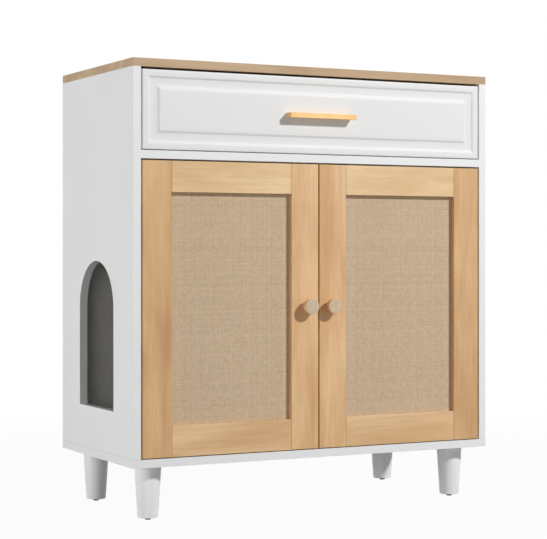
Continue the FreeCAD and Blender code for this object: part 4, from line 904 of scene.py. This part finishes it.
def dress(finish: Finish, *nodes: str) -> None:
    """Gives carried-over CAD nodes their finish.

    Args:
        finish: What they are made of.
        nodes: Their names.
    """
    for node in nodes:
        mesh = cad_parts[node].data
        mesh.materials.clear()
        mesh.materials.append(finish.material())


# ---- pieces ------------------------------------------------------------------------------------

@dataclass
class Piece:
    """A surface made here that stands for a CAD node.

    Args:
        node: CAD node that it stands for.
        body: Body that carries it.
        finish: What it is made of.
    """

    node: str
    body: str
    finish: Finish

    def make(self, name: str, surface: Surface, edge_angle: float = 40.0) -> bpy.types.Object:
        """Makes the object, lets it ride on its body and puts it in place of its node.

        Args:
            name: Name of the object.
            surface: Its points and faces.
            edge_angle: Edges sharper than this many degrees stay crisp.

        Returns:
            The object, at the origin.
        """
        mesh = bpy.data.meshes.new(name)
        mesh.from_pydata(surface.points.tolist(), [], surface.faces.tolist())
        mesh.update()
        if surface.uv is not None:
            layer = mesh.uv_layers.new(name="surface")
            corners = np.zeros(len(mesh.loops), np.int32)
            mesh.loops.foreach_get("vertex_index", corners)
            layer.data.foreach_set("uv", surface.uv[corners].astype(np.float32).ravel())
        mesh.polygons.foreach_set("use_smooth", np.full(len(mesh.polygons), True))
        mesh.set_sharp_from_angle(angle=math.radians(edge_angle))
        mesh.materials.append(self.finish.material())
        piece = bpy.data.objects.new(name, mesh)
        bpy.context.scene.collection.objects.link(piece)
        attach(piece, self.body)
        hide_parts(self.node)
        return piece


@dataclass
class WovenPanel(Piece):
    """Plain-woven sheet of a door, every thread a ribbon that passes over and under the others.

    Args:
        backing: CAD node that it is stretched over; not used.
        seed: Seed of the uneven threads.
        pitch: Distance from thread to thread in metres.
        share: Width of a thread as a share of the pitch.
        depth: Height of a crossing as a share of the sheet's thickness.
    """

    backing: str
    seed: int
    pitch: float = 2.0 * MM
    share: float = 0.9
    depth: float = 0.36

    def wander(self, rng: np.random.Generator, threads: int, steps: int, length: int) -> np.ndarray:
        """Slow random change along each thread.

        Args:
            rng: Random source.
            threads: Number of threads.
            steps: Points along a thread.
            length: Points from one random value to the next.

        Returns:
            Array of shape (threads, steps), about -1 to 1, eased between random values.
        """
        knots = rng.uniform(-1, 1, (threads, steps // length + 3))
        place = np.arange(steps) / length
        index = place.astype(int)
        share = place - index
        eased = share * share * (3 - 2 * share)
        return knots[:, index] * (1 - eased) + knots[:, index + 1] * eased

    def threads(self, rng: np.random.Generator, count: int, crossings: int, span: float, run: float,
                depth: float, phase: int) -> Surface:
        """Ribbons of one direction.

        Thread i crosses thread j at a height of plus or minus depth, whose sign is that of
        (-1) to the power i + j + phase; the ribbon is straight from crossing to crossing. Place,
        width and height each wander by a small share.

        Args:
            rng: Random source.
            count: Number of threads.
            crossings: Number of threads that they cross.
            span: Width of the sheet over all threads.
            run: Length of a thread.
            depth: Height of a crossing.
            phase: 0 or 1.

        Returns:
            A surface whose points are (across, along, height).
        """
        steps = crossings + 2
        along = np.concatenate([[0.0], (np.arange(crossings) + 0.5) * run / crossings, [run]])
        gap = span / count
        middle = (np.arange(count) + 0.5)[:, None] * gap
        middle = middle + self.wander(rng, count, steps, 17) * gap * 0.07
        half = gap * self.share / 2 * (1 + 0.07 * self.wander(rng, count, steps, 5))
        sign = (-1.0) ** (np.arange(count)[:, None] + np.arange(steps)[None, :] + phase)
        height = depth * sign * (1 + 0.12 * self.wander(rng, count, steps, 3))
        height[:, [0, -1]] = 0.0
        x = np.stack([np.clip(middle - half, 0, span), np.clip(middle + half, 0, span)], axis=2)
        y = np.repeat(np.broadcast_to(along, (count, steps)).reshape(-1), 2)
        points = np.stack([x.reshape(-1), y, np.repeat(height.reshape(-1), 2)], axis=1)
        faces = np.arange(count)[:, None, None] * steps * 2 + grid_faces(steps, 2)[None]
        number = np.repeat(np.arange(count) + 0.31, steps * 2)
        return Surface(points, faces.reshape(-1, 4), np.stack([y, number], axis=1))

    def build(self) -> bpy.types.Object:
        """Makes the sheet.

        Returns:
            The object.
        """
        low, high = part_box(self.node)
        width, length = high.x - low.x, high.z - low.z
        across, down = round(width / self.pitch), round(length / self.pitch)
        rng = np.random.default_rng(self.seed)
        depth = self.depth * (high.y - low.y)
        middle = (low.y + high.y) / 2
        warp = self.threads(rng, across, down, width, length, depth, 0)
        weft = self.threads(rng, down, across, length, width, depth, 1)
        up = Surface(np.stack([low.x + warp.points[:, 0], middle - warp.points[:, 2],
                               low.z + warp.points[:, 1]], axis=1), warp.faces, warp.uv)
        level = Surface(np.stack([low.x + weft.points[:, 1], middle - weft.points[:, 2],
                                  low.z + weft.points[:, 0]], axis=1), weft.faces[:, ::-1], weft.uv)
        piece = self.make(self.node + "_weave", joined([up, level]), edge_angle=180.0)
        return piece


@dataclass
class Knob(Piece):
    """Turned wooden knob: a drum with an eased face on a waisted neck.

    Args:
        end_finish: End grain of its face.
        neck: Radius at the door.
        neck_rise: Height where the flare starts.
        drum: Length of the straight drum.
        edge: Rounding of the face.
    """

    end_finish: Finish
    neck: float = 9.0 * MM
    neck_rise: float = 5.0 * MM
    drum: float = 10.0 * MM
    edge: float = 1.3 * MM

    def build(self) -> bpy.types.Object:
        """Makes the knob from its profile turned about the axis of its screw.

        Returns:
            The object, with end grain on the faces that look along the axis.
        """
        low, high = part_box(self.node)
        middle = (low + high) / 2
        radius, rise = (high.z - low.z) / 2, high.y - low.y
        profile = rounded([(0.0, 0.0, 0), (self.neck, 0.0, 0.3 * MM),
                           (self.neck, self.neck_rise, 4.0 * MM),
                           (radius, rise - self.drum, 2.6 * MM), (radius, rise, self.edge),
                           (0.0, rise, 0)], 9)
        place = (Matrix.Translation((middle.x, high.y, middle.z))
                 @ Matrix.Rotation(math.pi / 2, 4, "X"))
        piece = self.make(self.node + "_turned", turned(profile, 96).moved(place), edge_angle=60.0)
        faces = piece.data.polygons
        piece.data.materials.append(self.end_finish.material())
        normals = np.zeros(len(faces) * 3)
        faces.foreach_get("normal", normals)
        faces.foreach_set("material_index", (normals[1::3] < -0.9).astype(np.int32))
        return piece


@dataclass
class DrawerFront(Piece):
    """Moulded drawer front: a border, a sunk band with soft shoulders and a raised field.

    Args:
        edge: Rounding of the outer edge.
        outer: Where the band starts and reaches its depth, from the edge.
        inner: Where the band ends and the field is reached, from the edge.
        depth: Depth of the band.
    """

    edge: float = 2.0 * MM
    outer: tuple[float, float] = (12.0 * MM, 17.2 * MM)
    inner: tuple[float, float] = (31.0 * MM, 36.8 * MM)
    depth: float = 2.5 * MM

    def section(self, thickness: float) -> np.ndarray:
        """Cross-section from the rear edge over the front edge to the field.

        A quarter circle rounds the edge; each shoulder follows 3t squared less 2t cubed.

        Args:
            thickness: Thickness of the front.

        Returns:
            Array of shape (n, 2): distance from the edge and depth behind the front plane.
        """
        turn = np.linspace(0, math.pi / 2, 7)
        arc = np.column_stack([self.edge * (1 - np.cos(turn)), self.edge * (1 - np.sin(turn))])
        t = np.linspace(0, 1, 11)
        eased = t * t * (3 - 2 * t)
        down, up = (np.column_stack([start + t * (stop - start), self.depth * fall])
                    for (start, stop), fall in ((self.outer, eased), (self.inner, 1 - eased)))
        border, band = [[self.edge * 3, 0.0]], [[(self.outer[1] + self.inner[0]) / 2, self.depth]]
        field_start = [[self.inner[1] + 6 * MM, 0.0]]
        return np.concatenate([[[0.0, thickness]], arc, border, down, band, up, field_start])

    def lines(self, inset: np.ndarray, start: float, stop: float, between: int) -> np.ndarray:
        """Grid lines over one dimension.

        Args:
            inset: Distances from an edge.
            start: One edge.
            stop: The other edge.
            between: Number of lines over the field.

        Returns:
            Places of the lines.
        """
        near, far = start + inset, stop - inset[::-1]
        return np.concatenate([near, np.linspace(near[-1], far[0], between + 2)[1:-1], far])

    def build(self) -> bpy.types.Object:
        """Makes the front as a grid whose lines follow the section from all four edges.

        The depth at a crossing is that of the section at the nearest edge, so corners are mitred.

        Returns:
            The object.
        """
        low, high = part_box(self.node)
        section = self.section(high.y - low.y)
        x = self.lines(section[:, 0], low.x, high.x, 24)
        z = self.lines(section[:, 0], low.z, high.z, 4)
        rank_x, rank_z = (np.minimum(np.arange(len(line)), np.arange(len(line))[::-1])
                          for line in (x, z))
        rank = np.minimum(np.minimum(rank_z[:, None], rank_x[None, :]), len(section) - 1)
        across, up = np.meshgrid(x, z)
        points = np.stack([across, low.y + section[rank, 1], up], axis=-1).reshape(-1, 3)
        rear = np.array([[0, (len(z) - 1) * len(x), len(z) * len(x) - 1, len(x) - 1]])
        surface = Surface(points, np.concatenate([grid_faces(len(z), len(x)), rear]))
        return self.make("drawer_front_moulded", surface, edge_angle=50.0)


@dataclass
class Leg(Piece):
    """Round tapered leg with eased ends.

    Args:
        foot: Radius at the lower end.
        top: Radius under the cabinet.
    """

    foot: float = 20.0 * MM
    top: float = 26.5 * MM

    def build(self) -> bpy.types.Object:
        """Makes the leg from its profile turned about its axis.

        Returns:
            The object.
        """
        low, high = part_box(self.node)
        middle = (low + high) / 2
        rise = high.z - low.z
        profile = rounded([(0.0, 0.0, 0), (self.foot, 0.0, 0.8 * MM), (self.top, rise, 0.5 * MM),
                           (0.0, rise, 0)], 7)
        surface = turned(profile, 96).moved(Matrix.Translation((middle.x, middle.y, low.z)))
        return self.make(self.node + "_turned", surface, edge_angle=60.0)


@dataclass
class Glides(Piece):
    """Nail-on glides under the legs.

    Args:
        radius: Radius of a glide.
        rise: Height of a glide.
        nail: Radius of the nail's head.
        sunk: Depth of the nail's head.
    """

    radius: float = 6.0 * MM
    rise: float = 4.6 * MM
    nail: float = 2.4 * MM
    sunk: float = 0.5 * MM

    def build(self) -> bpy.types.Object:
        """Makes the four glides, each with the sunk head of its nail.

        Returns:
            The object.
        """
        profile = rounded([(0.0, self.sunk, 0), (self.nail, self.sunk, 0.1 * MM),
                           (self.nail + 0.4 * MM, 0.0, 0.2 * MM), (self.radius, 0.0, 1.2 * MM),
                           (self.radius, self.rise, 0.2 * MM), (0.0, self.rise, 0)], 6)
        one = turned(profile, 48)
        spots = [solid.middle for solid in solids(self.node)]
        surface = joined([one.moved(Matrix.Translation((spot[0], spot[1], 0.0))) for spot in spots])
        return self.make("glide_discs", surface, edge_angle=60.0)


class Head(Enum):
    """Kinds of screw head."""

    PAN = "pan"
    FLAT = "flat"


@dataclass
class Screws(Piece):
    """Cross-recess screws that stand for a CAD node of plain ones.

    Args:
        head: Shape of the head.
        sides: Points round a head.
        rings: Points from the middle of a head to its rim.
        thread: Distance from crest to crest of the thread.
        core: Radius between the crests as a share of the thread's radius.
    """

    head: Head = Head.PAN
    sides: int = 48
    rings: int = 15
    thread: float = 1.1 * MM
    core: float = 0.74

    def head_top(self, radius: float, rise: float) -> Surface:
        """Top of a head with its cross recess.

        The height is flat, or a dome: rise times the square root of 1 less 0.72 times (share of the
        radius) squared. From it goes a cross, whose depth falls off evenly beside two crossed bars.

        Args:
            radius: Radius of the head.
            rise: Height of the head.

        Returns:
            The surface, from the rim to the middle.
        """
        share = np.linspace(1, 0.0005, self.rings)
        x, y = rings(radius * share, self.sides)
        pan = self.head is Head.PAN
        dome = rise * np.sqrt(1 - 0.72 * share ** 2) if pan else np.zeros_like(share)
        half, soft = (0.15 * radius, 0.58 * radius), (0.06 * radius, 0.2 * radius)
        sunk = np.maximum(bar(x, y, half, soft), bar(y, x, half, soft)) * 0.42 * radius
        return skin(x, y, dome[:, None] - sunk)

    def shank(self, radius: float, length: float, head_radius: float) -> Surface:
        """Threaded shank below the head with a blunt point.

        Args:
            radius: Radius of the thread.
            length: Length below z = 0.
            head_radius: Radius of the head at z = 0.

        Returns:
            The surface, from the point up to the rim of the head.
        """
        turns = max(4, round(length / self.thread))
        core = radius * self.core
        profile = [(0.0002 * MM, -length)]
        for index, row in enumerate(np.linspace(0.12, 0.92, turns * 2 + 1)):
            crest = radius if index % 2 else core
            profile.append((crest * min(1.0, 0.45 + row * 2.4), -length * (1 - row)))
        profile.append((core, -0.02 * length))
        if self.head is Head.PAN:
            profile.append((core, 0.0))
        profile.append((head_radius * 0.999, 0.0))
        return turned(profile, 20)

    def one(self, solid: Solid) -> list[Surface]:
        """The screw that stands for one solid.

        The longest side of its box is the axis and the end with the wider ring is the head. The
        underside of the head lies where the widest points start.

        Args:
            solid: The plain screw.

        Returns:
            Head and shank, in place.
        """
        axis = int(np.argmax(solid.high - solid.low))
        others = [index for index in range(3) if index != axis]
        level = solid.points[:, axis]
        low, high = solid.low[axis], solid.high[axis]
        size = np.linalg.norm(solid.points[:, others] - solid.middle[others], axis=1)
        near, far = level < low + 0.25 * MM, level > high - 0.25 * MM
        spread = [np.ptp(solid.points[end][:, others], axis=0).max() for end in (near, far)]
        up = spread[1] > spread[0]
        radius = float(size.max()) * 0.98
        wide = level[size > 0.9 * radius]
        tip, point = (high, low) if up else (low, high)
        seat = wide.min() if up else wide.max()
        if self.head is Head.FLAT:
            seat = tip
        base, away = solid.middle, np.zeros(3)
        base[axis], away[axis] = seat, 1 if up else -1
        shank = float(size[near if up else far].max())
        parts = (self.head_top(radius, abs(tip - seat)),
                 self.shank(shank, abs(seat - point), radius))
        return [part.moved(placed(base, away)) for part in parts]

    def build(self) -> bpy.types.Object:
        """Makes all screws of the node where its solids are.

        Returns:
            The object.
        """
        surfaces = [part for solid in solids(self.node) for part in self.one(solid)]
        return self.make(self.node + "_detailed", joined(surfaces), edge_angle=35.0)


@dataclass
class CamLocks(Piece):
    """Cam locks with a rimmed face and a driver slot.

    Args:
        rim: Radius of the rim that covers the edge of the hole.
        depth: Depth in the board.
        lip: How far the rim stands past the drum.
        ease: Width of the rim's eased edge.
        rise: Height of the face above the board.
        slot: Depth of the slot.
        sides: Points round a cam.
        panel_zone: Distance from the middle past which a cam sits in a side panel.
    """

    rim: float = 8.4 * MM
    depth: float = 12.4 * MM
    lip: float = 1.4 * MM
    ease: float = 1.0 * MM
    rise: float = 0.6 * MM
    slot: float = 1.6 * MM
    sides: int = 64
    panel_zone: float = 0.38

    def one(self) -> Surface:
        """A cam along +Z with the board's face at z = 0.

        The face is flat with an eased rim, less a slot and a cross bar that fall off evenly.

        Returns:
            The surface.
        """
        drum = self.rim - self.lip
        outer = rounded([(drum, -self.depth, 0), (drum, -0.05 * MM, 0),
                         (self.rim, 0.0, 0.05 * MM), (self.rim, 0.5 * MM, 0.3 * MM),
                         (self.rim - self.ease, self.rise, 0)], 4)
        share = np.linspace(1, 0.001, 18)
        x, y = rings((self.rim - self.ease) * share, self.sides)
        long_slot = bar(y, x, (1.0 * MM, 5.2 * MM), (0.4 * MM, 0.5 * MM))
        short_slot = bar(x, y, (0.7 * MM, 3.0 * MM), (0.4 * MM, 0.5 * MM))
        face = skin(x, y, self.rise - self.slot * np.maximum(long_slot, short_slot))
        return joined([turned([(TIP, -self.depth)] + outer, self.sides), face])

    def place(self, solid: Solid) -> Matrix:
        """Where a cam goes: its face on the side of the cabinet's inside.

        Args:
            solid: The plain cam.

        Returns:
            The matrix.
        """
        (width, _, height), middle = solid.high - solid.low, solid.middle
        if height < width - 0.5 * MM and abs(middle[0]) < self.panel_zone:
            return placed((middle[0], middle[1], solid.low[2]), (0, 0, -1))
        side = 1.0 if middle[0] > 0 else -1.0
        inner = solid.low[0] if side > 0 else solid.high[0]
        return placed((inner, middle[1], middle[2]), (-side, 0, 0))

    def build(self) -> bpy.types.Object:
        """Sets a cam in each hole.

        Returns:
            The object.
        """
        pattern = self.one()
        surface = joined([pattern.moved(self.place(solid)) for solid in solids(self.node)])
        return self.make("cam_faces", surface, edge_angle=35.0)


@dataclass
class BallCage(Piece):
    """Ball cage of a slide: a folded strip and its balls.

    Args:
        ball: Radius of a ball.
        strip: Thickness of the strip.
        fold: Outer radius of its folds.
        inner_fold: Inner radius of its folds.
        longest_ball: Longest side of a solid that is a ball and not the strip.
    """

    ball: float = 2.5 * MM
    strip: float = 0.7 * MM
    fold: float = 1.0 * MM
    inner_fold: float = 0.4 * MM
    longest_ball: float = 20.0 * MM

    def folded(self, solid: Solid) -> Surface:
        """The strip: its outline out along the outer side and back along the inner side.

        Args:
            solid: The plain strip.

        Returns:
            The surface.
        """
        (left, start, bottom), (right, stop, top) = solid.low, solid.high
        side = -1.0 if left < 0 else 1.0
        wall, lip = (left, right) if side < 0 else (right, left)
        inner = wall - side * self.strip
        outward = rounded([(lip, bottom, 0), (wall, bottom, self.fold), (wall, top, self.fold),
                           (lip, top, 0)], 5)
        low, high = bottom + self.strip, top - self.strip
        back = rounded([(lip, high, 0), (inner, high, self.inner_fold),
                        (inner, low, self.inner_fold), (lip, low, 0)], 5)
        return along_y(outward + back, start, stop, side > 0)

    def build(self) -> bpy.types.Object:
        """Makes the strip and sets a ball, a half circle turned about Z, at each CAD ball.

        Returns:
            The object.
        """
        arc = np.linspace(-math.pi / 2, math.pi / 2, 15)
        one = turned([(max(TIP, self.ball * math.cos(turn)), self.ball * math.sin(turn))
                      for turn in arc], 28)
        surfaces = [one.moved(Matrix.Translation(solid.middle))
                    if solid.high[1] - solid.low[1] < self.longest_ball else self.folded(solid)
                    for solid in solids(self.node)]
        return self.make(self.node + "_detailed", joined(surfaces))


@dataclass
class HingeCups(Piece):
    """Concealed hinge cups with their flanges.

    Args:
        radius: Radius of the cup.
        depth: Depth of the cup.
        wall: Thickness of its wall.
        floor: Thickness of its floor.
        rim: How far its rim covers the edge of the hole.
        flange: Thickness of the flange.
        plate: Half width of the screw flange, and where each end of it starts and stops.
        plate_middle: Middle of each end, where its edge eases towards.
        plate_round: Rounding of its corners.
        plate_offset: Middle of the screw flange from the cup axis.
    """

    radius: float = 17.5 * MM
    depth: float = 11.5 * MM
    wall: float = 1.0 * MM
    floor: float = 0.9 * MM
    rim: float = 1.4 * MM
    flange: float = 1.2 * MM
    plate: tuple[float, float, float] = (6.0 * MM, 15.0 * MM, 28.0 * MM)
    plate_middle: float = 21.0 * MM
    plate_round: float = 4.0 * MM
    plate_offset: float = 9.5 * MM

    def cup(self) -> Surface:
        """Cup about Z: the door's rear face is z = 0 and the cup goes down.

        Returns:
            The surface.
        """
        inner, rim, floor = self.radius - self.wall, self.radius + self.rim, self.floor - self.depth
        return turned(rounded([(TIP, -self.depth, 0), (self.radius, -self.depth, 1.0 * MM),
                               (self.radius, 0.0, 0), (rim, 0.0, 0.1 * MM),
                               (rim, self.flange, 0.5 * MM), (inner, self.flange, 0.6 * MM),
                               (inner, floor, 2.0 * MM), (TIP, floor, 0)], 6), 72)

    def wings(self, offset: float) -> Surface:
        """Screw flange across the cup: a rounded plate whose two ends carry the screws.

        Args:
            offset: Middle of the plate from the cup axis, along X.

        Returns:
            The surface.
        """
        half, low, high = self.plate
        outline = rounded([(0.0, low, 0), (-half, low, 0.0), (-half, high, self.plate_round),
                           (half, high, self.plate_round), (half, low, 0.0), (0.0, low, 0)], 6)
        middle = np.array([0.0, self.plate_middle])
        spokes = np.array(outline[:-1]) - middle
        scale = np.array([1.0, 1.0, 0.94, 0.0005])[:, None]
        x = middle[0] + spokes[:, 0] * scale + offset
        y = middle[1] + spokes[:, 1] * scale
        z = np.broadcast_to(self.flange * np.array([0.0, 0.7, 1.0, 1.0])[:, None], x.shape)
        far, near = skin(x, y, z), skin(x, -y, z)
        return joined([near, Surface(far.points, far.faces[:, ::-1])])

    def build(self) -> bpy.types.Object:
        """Sets a cup at each CAD cup; the plate lies on the side away from the hinge edge.

        Returns:
            The object.
        """
        surfaces = []
        for solid in solids(self.node):
            side = -1.0 if solid.low[0] < 0 else 1.0
            edge = solid.low[0] if side < 0 else solid.high[0]
            place = Matrix.Translation((edge - side * self.radius, solid.high[1] - self.flange,
                                        solid.middle[2])) @ Matrix.Rotation(-math.pi / 2, 4, "X")
            parts = (self.cup(), self.wings(-side * self.plate_offset))
            surfaces += [part.moved(place) for part in parts]
        return self.make(self.node + "_detailed", joined(surfaces))


# ---- sub-assemblies ----------------------------------------------------------------------------

@dataclass
class Door:
    """One framed door.

    Args:
        word: "left" or "right".
        finishes: All finishes.
        seed: Start of its wood figures.
        seed_step: From one wood figure to the next.
    """

    word: str
    finishes: Finishes
    seed: float
    seed_step: float = 1.7

    def build(self) -> list[bpy.types.Object]:
        """Dresses the frame and makes the woven sheet, the knob and the fittings.

        Returns:
            The new objects.
        """
        door, kit = f"{self.word}_door", self.finishes
        stiles = sorted((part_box(f"{door}_{part}") for part in ("hinge_stile", "meeting_stile")),
                        key=lambda box: box[0].x)
        joints = (stiles[0][1].x, stiles[1][0].x)
        for index, part in enumerate(DOOR_TONES_WITH_PAINTED_LIGHT):
            rail = part.endswith("rail")
            grain, ends = (Grain.ACROSS, joints) if rail else (Grain.UPRIGHT, (FAR_AWAY, FAR_AWAY))
            seed = self.seed + self.seed_step * index
            dress(kit.door(door, part, grain, seed, ends), f"{door}_{part}")
        dress(kit.backing, f"{door}_backing_board")
        dress(kit.nickel, f"{door}_hinge_pins", f"{door}_strike_plate", f"{door}_hinge_arms")
        return [
            WovenPanel(f"{door}_woven_panel", door, kit.yarn, f"{door}_backing_board",
                       int(self.seed * 10) + 3).build(),
            Knob(f"{door}_knob", door, kit.knob, kit.knob_end).build(),
            HingeCups(f"{door}_hinge_cups", door, kit.nickel).build(),
            Screws(f"{door}_screws", door, kit.nickel).build(),
        ]


@dataclass
class Carcass:
    """Boards, legs and fixings that stand still.

    Args:
        finishes: All finishes.
    """

    finishes: Finishes

    def build(self) -> list[bpy.types.Object]:
        """Dresses the boards and makes the legs, glides and fixings.

        Returns:
            The new objects.
        """
        kit = self.finishes
        dress(kit.top, "top_board")
        dress(kit.side_board, "left_side_panel", "right_side_panel")
        dress(kit.white_board, "bottom_board", "divider_shelf", "back_panel")
        dress(kit.nickel, "leg_hanger_bolts", "leg_threaded_inserts", "cam_bolts",
              "hinge_mounting_plates")
        dress(kit.dowel, "wood_dowels")
        dress(kit.zinc, "left_slide_outer_rail", "right_slide_outer_rail")
        dress(kit.plastic, "magnetic_catch_case")
        dress(kit.magnet, "catch_magnets")
        pieces = [Leg(f"{name}_leg", "cabinet", kit.white_leg)
                  for name in ("front_left", "front_right", "rear_left", "rear_right")]
        pieces += [Glides("foot_glides", "cabinet", kit.glide),
                   CamLocks("cam_locks", "cabinet", kit.zinc),
                   Screws("cabinet_fitting_screws", "cabinet", kit.nickel),
                   Screws("back_panel_screws", "cabinet", kit.zinc, Head.FLAT)]
        pieces += [BallCage(f"{word}_slide_ball_cage", f"{word}_ball_cage", kit.zinc)
                   for word in ("left", "right")]
        return [piece.build() for piece in pieces]


@dataclass
class Drawer:
    """Drawer with its front, box, pull and slide members.

    Args:
        finishes: All finishes.
    """

    finishes: Finishes

    def build(self) -> list[bpy.types.Object]:
        """Dresses the drawer and makes its front and screws.

        Returns:
            The new objects.
        """
        kit = self.finishes
        dress(kit.drawer_box, "drawer_left_side", "drawer_right_side", "drawer_rear_board",
              "drawer_bottom")
        dress(kit.gold, "drawer_handle")
        dress(kit.dowel, "drawer_dowels")
        dress(kit.zinc, "left_slide_inner_rail", "right_slide_inner_rail")
        return [DrawerFront("drawer_front", "drawer", kit.drawer_board).build(),
                Screws("drawer_handle_screws", "drawer", kit.nickel).build(),
                Screws("drawer_slide_screws", "drawer", kit.zinc).build()]


# ---- studio ------------------------------------------------------------------------------------

@dataclass(frozen=True)
class Lamp:
    """A square soft lamp.

    Args:
        name: Its name.
        spot: Where it hangs.
        size: Its side in metres.
        power: Its power in watts.
    """

    name: str
    spot: Spot
    size: float
    power: float


@dataclass
class Studio:
    """Plain white floor and surroundings, soft lamps and the camera.

    Args:
        ambient: Strength of the surroundings as a light.
        floor_size: Side of the floor in metres.
        floor_paint: Grey of the floor under the white.
        white: Share of the floor that shows plain white to the camera.
        fade: Distances from the middle where the floor starts to go, and is, all white.
        camera_spot: Where the camera stands.
        camera_turn: Its turn from looking along +Y, in degrees to the right.
        lens: Its focal length in millimetres.
        shift_y: Its shift upwards as a share of the picture's width.
        target: Where the lamps point.
        lamps: The lamps.
    """

    ambient: float = 0.17
    floor_size: float = 24.0
    floor_paint: float = 0.4
    white: float = 0.96
    fade: tuple[float, float] = (0.9, 2.2)
    camera_spot: Spot = (-1.60194, -3.10228, 0.52222)
    camera_turn: float = 27.183
    lens: float = 109.713
    shift_y: float = -0.0371
    target: Spot = (0, 0, 0.45)
    lamps: tuple[Lamp, ...] = (
        Lamp("key", (2.5, -4.17, 3.33), 0.4, 216.0),
        Lamp("fill", (-4.0, 0.0, 0.45), 1.4, 74.0),
        Lamp("front", (-2.6, -3.8, 0.7), 1.0, 15.0),
        Lamp("rear", (1.6, 4.2, 2.2), 2.4, 70.0),
    )

    def floor(self) -> None:
        """Makes a floor that shows white, keeps a faint shadow and is clear from below."""
        half = self.floor_size / 2
        mesh = bpy.data.meshes.new("floor")
        mesh.from_pydata([(-half, -half, 0), (half, -half, 0), (half, half, 0), (-half, half, 0)],
                         [], [(0, 1, 2, 3)])
        material = bpy.data.materials.new("floor")
        material.use_nodes = True
        graph = Graph(material.node_tree)
        paint = graph.node("ShaderNodeBsdfPrincipled", {
            "Base Color": (self.floor_paint,) * 3 + (1,), "Roughness": 0.9,
            "Specular IOR Level": 0.0})
        glow = graph.node("ShaderNodeEmission", {"Strength": 1.0})
        place = graph.node("ShaderNodeTexCoord").outputs["Object"]
        reach = graph.node("ShaderNodeVectorMath", {0: place}, operation="LENGTH")
        share = graph.remap(reach.outputs["Value"], *self.fade, self.white, 1.0, smooth=True)
        above = graph.mix_shader(graph.math("MULTIPLY", self.seen(graph), share),
                                 paint.outputs[0], glow.outputs[0])
        below = graph.node("ShaderNodeNewGeometry").outputs["Backfacing"]
        clear = graph.node("ShaderNodeBsdfTransparent").outputs[0]
        graph.node("ShaderNodeOutputMaterial", {0: graph.mix_shader(below, above, clear)})
        mesh.materials.append(material)
        floor = bpy.data.objects.new("floor", mesh)
        bpy.context.scene.collection.objects.link(floor)

    def seen(self, graph: Graph) -> bpy.types.NodeSocket:
        """1 for rays that show a background: from the camera, a mirror or glass.

        Args:
            graph: Where to write.

        Returns:
            The value.
        """
        path = graph.node("ShaderNodeLightPath")
        either = graph.math("MAXIMUM", path.outputs["Is Camera Ray"], path.outputs["Is Glossy Ray"])
        return graph.math("MAXIMUM", either, path.outputs["Is Transmission Ray"])

    def surroundings(self) -> None:
        """Makes a world that lights softly and shows white behind the object."""
        world = bpy.data.worlds.new("surroundings")
        bpy.context.scene.world = world
        world.use_nodes = True
        graph = Graph(world.node_tree)
        light, shown = (graph.node("ShaderNodeBackground", {
            "Color": (1, 1, 1, 1), "Strength": strength}).outputs[0]
            for strength in (self.ambient, 1.0))
        graph.node("ShaderNodeOutputWorld", {0: graph.mix_shader(self.seen(graph), light, shown)})

    def lights(self) -> None:
        """Hangs the lamps, aimed at the middle of the cabinet."""
        for lamp in self.lamps:
            light = bpy.data.lights.new(lamp.name, "AREA")
            light.shape, light.size, light.energy = "SQUARE", lamp.size, lamp.power
            item = bpy.data.objects.new(lamp.name, light)
            bpy.context.scene.collection.objects.link(item)
            item.location = lamp.spot
            aim = Vector(self.target) - Vector(lamp.spot)
            item.rotation_euler = aim.to_track_quat("-Z", "Y").to_euler()

    def camera(self) -> None:
        """Sets up the camera at the picture's angle."""
        lens = bpy.data.cameras.new("camera")
        lens.sensor_width = 36.0
        lens.sensor_fit = "HORIZONTAL"
        lens.lens = self.lens
        lens.shift_y = self.shift_y
        item = bpy.data.objects.new("camera", lens)
        bpy.context.scene.collection.objects.link(item)
        item.location = self.camera_spot
        item.rotation_euler = (math.pi / 2, 0, -math.radians(self.camera_turn))
        bpy.context.scene.camera = item

    def build(self) -> None:
        """Sets up the whole studio."""
        self.floor()
        self.surroundings()
        self.lights()
        self.camera()


def main() -> None:
    """Builds every piece in order, reports each one and sets the view transform."""
    logging.basicConfig(level=logging.INFO, format="%(message)s")
    finishes = Finishes()
    for part in (Carcass(finishes), Drawer(finishes), Door("left", finishes, 0.4),
                 Door("right", finishes, 5.3)):
        for piece in part.build():
            LOG.info("%s: %d faces", piece.name, len(piece.data.polygons))
    Studio().build()
    bpy.context.scene.view_settings.view_transform = "Standard"


if __name__ == "__main__":
    main()
